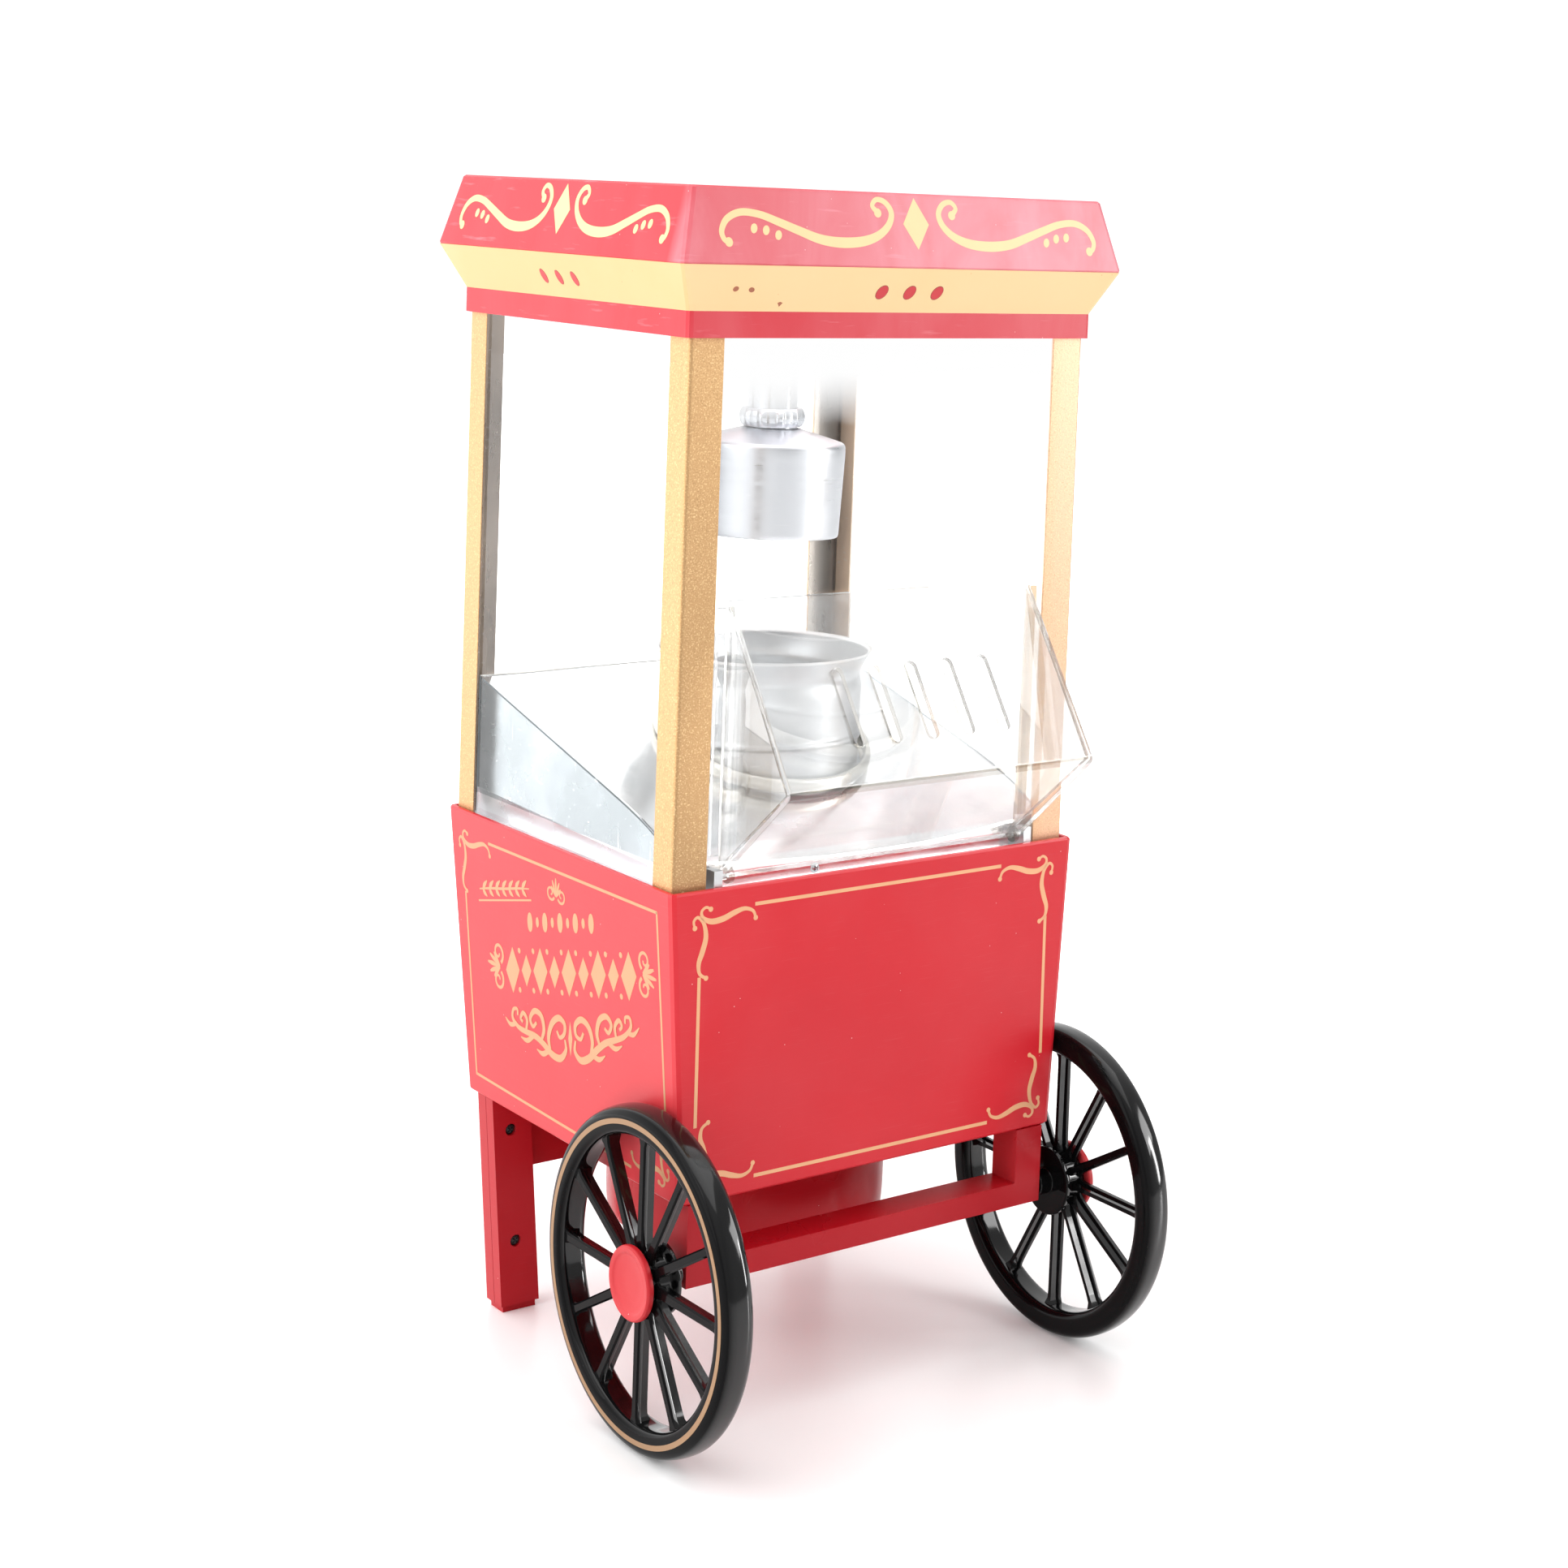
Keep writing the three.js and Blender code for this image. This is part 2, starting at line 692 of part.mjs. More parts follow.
// The chute hangs under the roof opening; the measuring cup sits in it with its lip flush with the roof.
function addFeed() {
  const chuteBottomZ = collarTopZ + 0.4;
  const seatZ = roofTopZ - canopyWall;
  const chute = turned([
    [neckRadius + 3, chuteBottomZ],
    [neckRadius + 3, chuteBottomZ + 3],
    [feedOpeningRadius + 1.2, seatZ - 26],
    [feedOpeningRadius + 1.2, seatZ - 1.2],
    [feedOpeningRadius + 6, seatZ - 1.2],
    [feedOpeningRadius + 6, seatZ],
    [feedOpeningRadius - 1.4, seatZ],
    [feedOpeningRadius - 1.4, seatZ - 24.6],
    [neckRadius + 1.2, chuteBottomZ + 4],
    [neckRadius + 1.2, chuteBottomZ],
    [neckRadius + 3, chuteBottomZ],
  ], 20);
  add("feed_chute", chute, aluminium);

  const cupRadius = feedOpeningRadius - 2.2;
  const lipRadius = feedOpeningRadius - 0.4;
  const cup = turned([
    [0, roofTopZ - cupDepth],
    [cupRadius - 2, roofTopZ - cupDepth],
    [cupRadius, roofTopZ - cupDepth + 2],
    [cupRadius, seatZ + 0.1],
    [lipRadius, seatZ + 0.1],
    [lipRadius, seatZ + 0.1 + cupLip],
    [cupRadius - cupWall, seatZ + 0.1 + cupLip],
    [cupRadius - cupWall, roofTopZ - cupDepth + 3],
    [0, roofTopZ - cupDepth + 1.6],
  ], 24);
  const grip = box(-cupRadius + 0.5, cupRadius - 0.5, -1.2, 1.2, roofTopZ - 12, roofTopZ - 2);
  add("measuring_cup", union(cup, grip), red);
}

// ---------------------------------------------------------------- hood, pot and tray

function addHood() {
  const wall = sheet;
  const boreInHood = neckRadius + 0.4;
  const hood = turned([
    [boreInHood, hoodTopZ],
    [hoodShoulderRadius - 2.6, hoodRimZ],
    [hoodShoulderRadius - 0.4, hoodRimZ - 1.4],
    [hoodShoulderRadius, hoodRimZ - 5],
    [hoodMouthRadius, hoodBottomZ],
    [hoodMouthRadius - wall, hoodBottomZ],
    [hoodShoulderRadius - wall, hoodRimZ - 5],
    [hoodShoulderRadius - 3.2, hoodRimZ - wall],
    [boreInHood, hoodTopZ - wall],
    [boreInHood, hoodTopZ],
  ]);
  add("hood", hood, aluminium);

  // Tube from the ceiling down through the hood, with a clinched foot under the hood's top.
  const footTopZ = hoodTopZ - 2 * sheet - 0.2;
  const tube = turned(walled([[neckRadius, footTopZ - 3], [neckRadius, collarTopZ + 8]], sheet), 24);
  const footRadius = neckRadius + neckFootReach;
  const footWall = neckFootReach + 0.6;
  const footLine = [[footRadius, footTopZ - neckFootHeight], [footRadius, footTopZ]];
  const foot = turned(walled(footLine, footWall), 24);
  add("hood_neck", union(tube, foot), aluminium);

  // Fluted collar that clamps the tube to the hood.
  const lobes = [];
  const lobeSteps = 4;
  for (let i = 0; i < clampLobes * lobeSteps; i += 1) {
    const angle = (i / (clampLobes * lobeSteps)) * Math.PI * 2;
    const reach = neckRadius + 2.4 + 0.7 * Math.cos(angle * clampLobes);
    lobes.push([reach * Math.cos(angle), reach * Math.sin(angle)]);
  }
  const clamp = prism("z", lobes, clampBottomZ, clampBottomZ + clampHeight);
  const clampBore = rod("z", neckRadius + 0.3, clampBottomZ - 1, clampBottomZ + clampHeight + 1);
  add("hood_collar", cut(clamp, clampBore), aluminium);

  // Nut on the tube under the ceiling.
  const nutRadius = neckRadius + neckNutReach;
  const nutTopZ = collarBottomZ - 13;
  const nutWall = neckNutReach - 0.2;
  const nut = turned(walled([[nutRadius, nutTopZ - neckNutHeight], [nutRadius, nutTopZ]], nutWall), 24);
  add("neck_flange", nut, aluminium);
}

function addPot() {
  const beadZ = 263;
  const outside = [
    [potBodyRadius - 0.6, potFootZ],
    [potBodyRadius - 0.2, beadZ - 2],
    [potBodyRadius + 0.5, beadZ],
    [potBodyRadius, beadZ + 2],
    [potBodyRadius, 284],
    [potBodyRadius - 0.8, 289.5],
    [potBodyRadius + 1.8, 294.4],
    [potRimRadius, potRimZ],
  ];
  add("pot", turned(walled(outside, 1.3), 36), aluminium);
}

function trayZAt(x, y) {
  const slope =
    y > trayBend.y
      ? mix(trayBend.z, trayRear.z, (y - trayBend.y) / (trayRear.y - trayBend.y))
      : mix(trayLip.z, trayBend.z, (y - trayLip.y) / (trayBend.y - trayLip.y));
  const forward = Math.min(1, Math.max(0, (traySagStartY - y) / (traySagStartY - traySagFullY)));
  const across = 1 - (x / trayHalfX) ** 2;
  return slope - traySag * forward * forward * (3 - 2 * forward) * across;
}

// A sheet of even height over a grid of the plan, as a closed solid.
function heightSheet(xs, ys, heightAt, thickness) {
  const points = [];
  for (const drop of [thickness, 0]) {
    for (const y of ys) for (const x of xs) points.push(x, y, heightAt(x, y) - drop);
  }
  const nx = xs.length;
  const ny = ys.length;
  const at = (layer, i, j) => layer * nx * ny + j * nx + i;
  const faces = [];
  const quad = (a, b, c, d) => faces.push(a, b, c, a, c, d);
  for (let j = 0; j + 1 < ny; j += 1) {
    for (let i = 0; i + 1 < nx; i += 1) {
      quad(at(1, i, j), at(1, i + 1, j), at(1, i + 1, j + 1), at(1, i, j + 1));
      quad(at(0, i, j), at(0, i, j + 1), at(0, i + 1, j + 1), at(0, i + 1, j));
    }
  }
  for (let i = 0; i + 1 < nx; i += 1) {
    quad(at(0, i, 0), at(0, i + 1, 0), at(1, i + 1, 0), at(1, i, 0));
    quad(at(0, i + 1, ny - 1), at(0, i, ny - 1), at(1, i, ny - 1), at(1, i + 1, ny - 1));
  }
  for (let j = 0; j + 1 < ny; j += 1) {
    quad(at(0, 0, j + 1), at(0, 0, j), at(1, 0, j), at(1, 0, j + 1));
    quad(at(0, nx - 1, j), at(0, nx - 1, j + 1), at(1, nx - 1, j + 1), at(1, nx - 1, j));
  }
  const geometry = new THREE.BufferGeometry();
  geometry.setAttribute("position", new THREE.Float32BufferAttribute(points, 3));
  geometry.setIndex(faces);
  return solid(geometry);
}

function spaced(from, to, count) {
  return Array.from({ length: count + 1 }, (_, i) => mix(from, to, i / count));
}

function addTray() {
  const xs = spaced(-trayHalfX, trayHalfX, 8);
  const lipYs = spaced(trayLip.y, trayBend.y, 2);
  const slopeYs = spaced(trayBend.y, traySagStartY, 6).slice(1);
  const ys = [...lipYs, ...slopeYs, trayRear.y];
  const top = heightSheet(xs, ys, trayZAt, sheet);
  const side = prism(
    "x",
    [
      [trayLip.y, creaseFrontZ],
      [trayRear.y, creaseRearZ],
      [trayRear.y, trayRear.z],
      [trayBend.y, trayBend.z],
      [trayLip.y, trayLip.z],
    ],
    trayHalfX - sheet,
    trayHalfX,
  );
  // Below the crease the side leans in to the deck.
  const lean = 2.5;
  const skirt = new THREE.BufferGeometry();
  const corners = [
    [trayHalfX, trayLip.y, creaseFrontZ],
    [trayHalfX, trayRear.y, creaseRearZ],
    [trayHalfX - lean, trayRear.y, deckTopZ],
    [trayHalfX - lean, trayLip.y, deckTopZ],
  ];
  const inner = corners.map(([x, y, z]) => [x - sheet, y, z]);
  skirt.setAttribute("position", new THREE.Float32BufferAttribute([...corners, ...inner].flat(), 3));
  const outerFace = [0, 1, 2, 0, 2, 3];
  const innerFace = [4, 6, 5, 4, 7, 6];
  const edges = [0, 4, 5, 0, 5, 1, 1, 5, 6, 1, 6, 2, 2, 6, 7, 2, 7, 3, 3, 7, 4, 3, 4, 0];
  skirt.setIndex([...outerFace, ...innerFace, ...edges]);
  const wing = union(side, solid(skirt));
  const frontPlate = apronPlate(xs);
  const rear = box(-trayHalfX, trayHalfX, trayRear.y - sheet, trayRear.y, deckTopZ, trayRear.z - sheet / 2);
  const body = union(top, wing, mirrored(wing), frontPlate, rear);
  const screwHole = rod("y", 1.4, trayLip.y - 2, trayLip.y + 4, [trayScrewX, trayScrewZ], 12);
  add("tray", cut(body, rod("z", boreRadius, deckBottomZ, trayRear.z + 5), screwHole), aluminium);

  const head = union(
    rod("y", 2.4, trayLip.y - 1.3, trayLip.y - 0.1, [trayScrewX, trayScrewZ], 14),
    rod("y", 1.1, trayLip.y - 0.2, trayLip.y + 3, [trayScrewX, trayScrewZ], 8),
  );
  add("tray_screw", head, steel);
}

// Upright front of the tray, its top edge following the sagging lip.
function apronPlate(xs) {
  const upper = xs.map((x) => [x, trayZAt(x, trayLip.y) - sheet / 2]);
  const outline = [[xs[0], deckTopZ], [xs[xs.length - 1], deckTopZ], ...upper.reverse()];
  return prism("y", outline, trayLip.y, trayLip.y + sheet);
}

// Rolled collar round the hole of the tray, lying in the slope of the tray round the hole.
function addTrayCollar() {
  const reach = boreRadius + 2.4;
  const slope = Math.atan2(trayZAt(0, reach) - trayZAt(0, -reach), 2 * reach);
  const low = 1.3;
  const ring = turned([
    [boreRadius + 1.2, low],
    [boreRadius + 4, low],
    [boreRadius + 4.6, low + 2.6],
    [boreRadius + 3.6, low + 5.6],
    [boreRadius + 2, low + 6.6],
    [boreRadius + 1.2, low + 5.6],
    [boreRadius + 1.2, low],
  ]);
  const tilted = placed(ring, [THREE.MathUtils.radToDeg(slope), 0, 0], [0, 0, trayZAt(reach, 0)]);
  add("tray_collar", cut(tilted, rod("z", boreRadius, deckBottomZ, trayRear.z + 30)), aluminium);
}

// ---------------------------------------------------------------- wheels

function spoke(angle) {
  const inner = hubRadius - 1;
  const outer = rimInnerRadius + 1;
  const strip = (innerHalf, outerHalf) => [
    [-innerHalf, inner],
    [innerHalf, inner],
    [outerHalf, outer],
    [-outerHalf, outer],
  ];
  const fin = prism("x", strip(spokeFinHalf, spokeFinHalf), spokeBackX, spokeStepX + 1);
  const rib = prism("x", strip(spokeRibHalf, spokeRibHalf - 0.3), spokeStepX, spokeFrontX);
  return placed(union(fin, rib), [angle, 0, 0]);
}

function wheelBody() {
  const outX = wheelOuterX;
  const inX = wheelInnerX;
  const rim = turnedAboutX(
    [
      [rimInnerRadius + 2.2, outX],
      [wheelRadius - 4.2, outX],
      [wheelRadius - 1.2, outX - 1.8],
      [wheelRadius, outX - 5],
      [wheelRadius, inX + 2.4],
      [wheelRadius - 2, inX],
      [rimInnerRadius + 2, inX],
      [rimInnerRadius, inX + 2],
      [rimInnerRadius, outX - 2.6],
      [rimInnerRadius + 2.2, outX],
    ],
    48,
  );
  const hub = turnedAboutX(
    [
      [hubBore, outX - 1.4],
      [hubRadius, outX - 1.4],
      [hubRadius, inX + 1.6],
      [hubFlangeRadius, inX + 1.6],
      [hubFlangeRadius, inX - 0.4],
      [hubBossRadius, inX - 0.4],
      [hubBossRadius, hubInnerX],
      [hubBore, hubInnerX],
      [hubBore, outX - 1.4],
    ],
    24,
  );
  const spokes = [];
  for (let i = 0; i < spokeCount; i += 1) spokes.push(spoke((i * 360) / spokeCount));
  return union(rim, hub, ...spokes);
}

function hubCap() {
  const baseX = wheelOuterX - 1.2;
  return turnedAboutX(
    [
      [0, baseX],
      [capRadius, baseX],
      [capRadius, baseX + 2.2],
      [capRadius - 1.4, baseX + 3.2],
      [capRadius - 4, baseX + 2.4],
      [0, baseX + 1.5],
    ],
    28,
  );
}

function addWheels() {
  const wheel = wheelBody();
  const cap = hubCap();
  for (const [name, turn] of [["right", 0], ["left", Math.PI]]) {
    const group = addGroup(0, wheelAxisY, wheelRadius);
    group.rotation.z = turn;
    add(`wheel_${name}`, wheel, blackGloss, group);
    add(`hub_cap_${name}`, cap, red, group);
  }
  const endX = wheelOuterX - 2;
  add("axle", rod("x", axleRadius, -endX, endX, [wheelAxisY, wheelRadius], 20), steel);
}

// ---------------------------------------------------------------- frame and legs

function addFrontFrame() {
  const rearY = frameFrontY + frameDepth;
  const outer = [
    [-frameHalfX, frameBarBottomZ],
    [frameHalfX, frameBarBottomZ],
    [frameHalfX, tubBottomZ],
    [-frameHalfX, tubBottomZ],
  ];
  const innerX = frameHalfX - framePostWidth;
  const gap = [
    [-innerX, frameBarTopZ],
    [innerX, frameBarTopZ],
    [innerX, tubBottomZ + 1],
    [-innerX, tubBottomZ + 1],
  ];
  const frame = cut(prism("y", outer, frameFrontY, rearY), prism("y", gap, frameFrontY - 1, rearY + 1));
  const bore = rod("x", axleRadius + 0.2, -frameHalfX - 1, frameHalfX + 1, [wheelAxisY, wheelRadius], 20);
  add("front_frame", cut(frame, bore), red);
}

// Rectangle in plan that slides inwards with the lean of the legs as it goes down from the tub.
function leaning(x0, x1, y0, y1, zLow, zHigh) {
  const ringAt = (z) => {
    const drop = tubBottomZ - z;
    const dx = -legLeanX * drop;
    const dy = -legLeanY * drop;
    return [[x0 + dx, y0 + dy], [x1 + dx, y0 + dy], [x1 + dx, y1 + dy], [x0 + dx, y1 + dy]];
  };
  return loft([{ z: zLow, ring: ringAt(zLow) }, { z: zHigh, ring: ringAt(zHigh) }]);
}

function legScrew(z) {
  const drop = tubBottomZ - z;
  const x = legScrewX - legLeanX * drop;
  const faceY = legFrontY - legLeanY * drop;
  const head = rod("y", 2.3, faceY + 0.7, faceY + 2.2, [x, z], 12);
  const shank = rod("y", 1.1, faceY + 2, faceY + 10.5, [x, z], 8);
  const recess = box(x - 1.7, x + 1.7, faceY, faceY + 1.3, z - 0.35, z + 0.35);
  const seat = rod("y", 2.7, faceY - 2, faceY + 2.5, [x, z], 12);
  const hole = rod("y", 1.3, faceY, faceY + 11, [x, z], 8);
  return { screw: cut(union(head, shank), recess), room: union(seat, hole) };
}

// Each leg is two shells screwed together; the rear shells are one piece with the apron between them.
function addLegs() {
  const inner = legOuterX - legWidth;
  const screws = legScrewZ.map(legScrew);
  const rooms = screws.map(({ room }) => room);
  const rearShell = leaning(inner, legOuterX, legSplitY, legRearY, footHeight, tubBottomZ);
  const apron = box(-apronHalfX, apronHalfX, apronFrontY, apronRearY, apronBottomZ, tubBottomZ);
  const tab = box(apronTabX, apronTabX + 3, apronFrontY - 5, apronFrontY + 1, tubBottomZ - 5, tubBottomZ);
  const side = union(cut(rearShell, ...rooms), tab);
  add("rear_frame", union(side, mirrored(side), apron), red);

  const coverRearY = legSplitY - legCoverGap;
  const shell = leaning(inner, legOuterX, legFrontY, coverRearY, footHeight, tubBottomZ);
  const cover = cut(shell, ...rooms);
  const margin = 1.3;
  const footFrontY = legFrontY + margin;
  const footRearY = legRearY - margin;
  const foot = leaning(inner + margin, legOuterX - margin, footFrontY, footRearY, 0, footHeight);
  for (const [name, flip] of [["right", 1], ["left", -1]]) {
    const group = addGroup(0, 0, 0);
    group.scale.x = flip;
    add(`leg_cover_${name}`, cover, red, group);
    add(`foot_${name}`, foot, red, group);
    add(`leg_screw_upper_${name}`, screws[0].screw, blackMatte, group);
    add(`leg_screw_lower_${name}`, screws[1].screw, blackMatte, group);
  }
}

// ---------------------------------------------------------------- drum and drive

function addDrum() {
  const wall = 2.4;
  const topZ = tubBottomZ;
  const drum = turned([
    [0, drumBottomZ],
    [drumRadius - 7, drumBottomZ],
    [drumRadius - 1.8, drumBottomZ + 2.6],
    [drumRadius, drumBottomZ + 8],
    [drumRadius, topZ],
    [drumRadius - wall, topZ],
    [drumRadius - wall, drumBottomZ + 8],
    [drumRadius - 5, drumBottomZ + 4],
    [drumRadius - 9, drumBottomZ + wall],
    [0, drumBottomZ + wall],
  ], 36);
  const slots = [];
  const slotCount = 5;
  const slotPitch = 14;
  for (let i = 0; i < slotCount; i += 1) {
    const y = (i - (slotCount - 1) / 2) * slotPitch;
    const half = Math.sqrt((drumRadius - 14) ** 2 - y ** 2);
    slots.push(box(-half, half, y - 2, y + 2, drumBottomZ - 1, drumBottomZ + wall + 0.5));
  }
  add("motor_drum", cut(drum, ...slots), red);
}

function addDrive() {
  const can = rod("z", motorRadius, motorBottomZ, motorTopZ, [0, 0], 24);
  const upperBoss = rod("z", 7, motorTopZ - 1, motorTopZ + 1.7, [0, 0], 16);
  const lowerBoss = rod("z", 5, motorBottomZ - 2, motorBottomZ + 1, [0, 0], 12);
  const shaftBore = rod("z", shaftRadius + 0.4, motorTopZ - 12, motorTopZ + 10, [0, 0], 16);
  add("motor", cut(union(can, upperBoss, lowerBoss), shaftBore), steel);

  const arm = box(-drumRadius + 6, drumRadius - 6, -8, 8, motorTopZ, motorTopZ + 1.6);
  const seat = rod("z", motorRadius + 3, motorTopZ, motorTopZ + 1.6, [0, 0], 24);
  const lift = (side) => box(side * 50 - 2, side * 50 + 2, -8, 8, motorTopZ, tubBottomZ + tubFloorThickness);
  const bracket = union(arm, seat, lift(-1), lift(1));
  const eye = rod("z", 7.4, motorTopZ - 1, motorTopZ + 3, [0, 0], 16);
  add("motor_bracket", cut(bracket, eye), steel);

  const shaft = rod("z", shaftRadius, motorTopZ - 10, fanBottomZ + 14, [0, 0], 12);
  const hub = rod("z", 8, fanBottomZ, fanBottomZ + 12, [0, 0], 12);
  const plate = rod("z", fanRadius, fanBottomZ, fanBottomZ + 1.2, [0, 0], 24);
  const blades = [];
  const bladeCount = 6;
  for (let i = 0; i < bladeCount; i += 1) {
    const blade = box(6, fanRadius - 1, -0.6, 0.6, fanBottomZ + 0.6, fanBottomZ + 16);
    blades.push(placed(blade, [0, 0, (i * 360) / bladeCount]));
  }
  add("fan", union(shaft, hub, plate, ...blades), blackMatte);
}

// Scroll under the chamber that turns the fan's air up through the heater.
function addAirBox() {
  const air = turned([
    [52, tubBottomZ + tubFloorThickness],
    [56, tubBottomZ + tubFloorThickness],
    [56, fanBottomZ + 24],
    [potBodyRadius + 1.6, fanBottomZ + 36],
    [potBodyRadius + 1.6, chamberBottomZ + 10],
    [potBodyRadius - 0.2, chamberBottomZ + 10],
    [potBodyRadius - 0.2, fanBottomZ + 35],
    [54, fanBottomZ + 23],
    [52, fanBottomZ + 14],
    [52, tubBottomZ + tubFloorThickness],
  ], 24);
  add("air_box", air, blackMatte);
}

function addChamber() {
  const outer = potBodyRadius - 2.4;
  const inner = outer - 1.2;
  const chamber = turned([
    [0, chamberBottomZ],
    [outer - 4, chamberBottomZ],
    [outer, chamberBottomZ + 5],
    [outer, chamberTopZ],
    [inner, chamberTopZ],
    [inner, chamberBottomZ + 6],
    [outer - 5, chamberBottomZ + 1.2],
    [0, chamberBottomZ + 1.2],
  ], 24);
  const slots = [];
  const slotCount = 8;
  for (let i = 0; i < slotCount; i += 1) {
    const slot = box(outer - 3, outer + 3, -3.6, 3.6, chamberBottomZ + 9, chamberBottomZ + 11.4);
    slots.push(placed(slot, [0, 0, (i * 360) / slotCount]));
  }
  add("chamber", cut(chamber, ...slots), aluminium);
}

// Open coil wound in one run between the fan and the chamber, on a mica cross.
function addHeater() {
  const crossBottomZ = fanBottomZ + 20;
  const crossTopZ = chamberBottomZ - 4;
  const cardHalf = 1;
  const reach = potBodyRadius - 1.2;
  const cards = union(
    box(-reach, reach, -cardHalf, cardHalf, crossBottomZ, crossTopZ),
    box(-cardHalf, cardHalf, -reach, reach, crossBottomZ, crossTopZ),
  );
  const turns = 3;
  const coilRadius = 26;
  const wireRadius = 1.3;
  const lowZ = crossBottomZ + 4;
  const pitch = 4;
  const stepsPerTurn = 12;
  const steps = turns * stepsPerTurn;
  const points = [];
  for (let i = 0; i <= steps; i += 1) {
    const angle = (i / stepsPerTurn) * Math.PI * 2;
    const z = lowZ + (pitch * i) / stepsPerTurn;
    points.push(new THREE.Vector3(coilRadius * Math.cos(angle), coilRadius * Math.sin(angle), z));
  }
  const wire = new THREE.Shape();
  wire.absarc(0, 0, wireRadius, 0, Math.PI * 2);
  const extrudePath = new THREE.CatmullRomCurve3(points);
  const options = { steps, extrudePath, curveSegments: 3, bevelEnabled: false };
  add("heater_coil", solid(new THREE.ExtrudeGeometry(wire, options)), copper);

  const near = coilRadius - wireRadius - 1;
  const far = coilRadius + wireRadius + 1;
  const windowTopZ = lowZ + turns * pitch + 2;
  const windows = [0, 90, 180, 270].map((angle) =>
    placed(box(near, far, -cardHalf - 1, cardHalf + 1, lowZ - 2, windowTopZ), [0, 0, angle]),
  );
  add("heater_cards", cut(cards, ...windows), cream);
}

// ---------------------------------------------------------------- assembly

addTub();
addDeck();
addSwitch();
addCord();
addPosts();
addPanes();
addDoor();
addDoorHinges();
addCanopy();
addFeed();
addHood();
addPot();
addTray();
addTrayCollar();
addWheels();
addFrontFrame();
addLegs();
addDrum();
addDrive();
addAirBox();
addChamber();
addHeater();

const extent = new THREE.Box3().setFromObject(cart);
cart.position.y = -(extent.min.y + extent.max.y) / 2;

const assembly = new THREE.Group();
assembly.add(cart);

export default assembly;
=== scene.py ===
"""Looks of the tabletop popcorn cart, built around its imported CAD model.

Shapes are written in millimetres from the cabinet axis on the floor and turned into the frame's metres by at().
"""

import math
import random

import bmesh
import bpy
from mathutils import Euler, Matrix, Vector, noise


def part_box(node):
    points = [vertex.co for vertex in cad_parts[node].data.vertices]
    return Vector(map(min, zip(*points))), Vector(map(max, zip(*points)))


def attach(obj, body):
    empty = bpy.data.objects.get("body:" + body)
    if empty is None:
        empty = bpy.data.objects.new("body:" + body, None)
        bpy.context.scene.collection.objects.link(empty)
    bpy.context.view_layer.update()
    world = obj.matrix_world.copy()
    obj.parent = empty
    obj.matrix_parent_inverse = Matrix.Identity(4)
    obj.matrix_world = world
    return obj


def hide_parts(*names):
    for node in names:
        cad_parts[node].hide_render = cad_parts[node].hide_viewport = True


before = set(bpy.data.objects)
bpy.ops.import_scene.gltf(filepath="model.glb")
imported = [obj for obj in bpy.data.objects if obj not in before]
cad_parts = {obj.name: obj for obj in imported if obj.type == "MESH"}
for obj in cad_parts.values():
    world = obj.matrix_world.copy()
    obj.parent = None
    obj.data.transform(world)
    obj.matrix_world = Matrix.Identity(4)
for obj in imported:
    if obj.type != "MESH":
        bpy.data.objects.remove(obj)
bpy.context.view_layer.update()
random.seed(7)

# ------------------------------------------------------------------ dimensions, in millimetres

MM = 0.001
AXIS_Y = (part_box("pot")[0].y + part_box("pot")[1].y) / 2

CABINET_X = 99.6
CABINET_Y = 88.6
TUB_BOTTOM = 96.6
TUB_RIM = 222.7
TUB_TOP_X, TUB_BASE_X = 102.6, 95.1
TUB_TOP_FRONT, TUB_BASE_FRONT = -93.1, -94.6
TUB_TOP_REAR, TUB_BASE_REAR = 91.6, 80.0
DECK_TOP = 219.5
COLLAR_TOP = 451.4
ROOF_EDGE = 469.8
ROOF_TOP = 500.0
ROOF_ROUNDING = 0.8
COLLAR_OUT, EDGE_OUT, TOP_OUT = 2.2, 11.1, 4.2
POST_TOP = 449.0

WHEEL_Y = -89.5
WHEEL_R = 68.5
WHEEL_OUT_X = 112.4
WHEEL_IN_X = 99.0
RIM_IN_R = 57.0
SPOKES = 12

BORE_R = 43.6
TRAY_X = 94.0
TRAY_REAR = (82.0, 281.0)
TRAY_BEND = (-62.0, 243.5)
TRAY_LIP = (-82.0, 233.0)
TRAY_SAG = 6.5
TRAY_SAG_START = 35.0
TRAY_SAG_FULL = -55.0


def at(x, y, z):
    return Vector((x * MM, y * MM + AXIS_Y, z * MM))


def mix(a, b, share):
    return a + (b - a) * share


# ------------------------------------------------------------------ materials

BRIGHT_SIDE = (-0.63, 0.77, 0.0)
UNDERSIDE = (0.0, -0.66, -0.75)


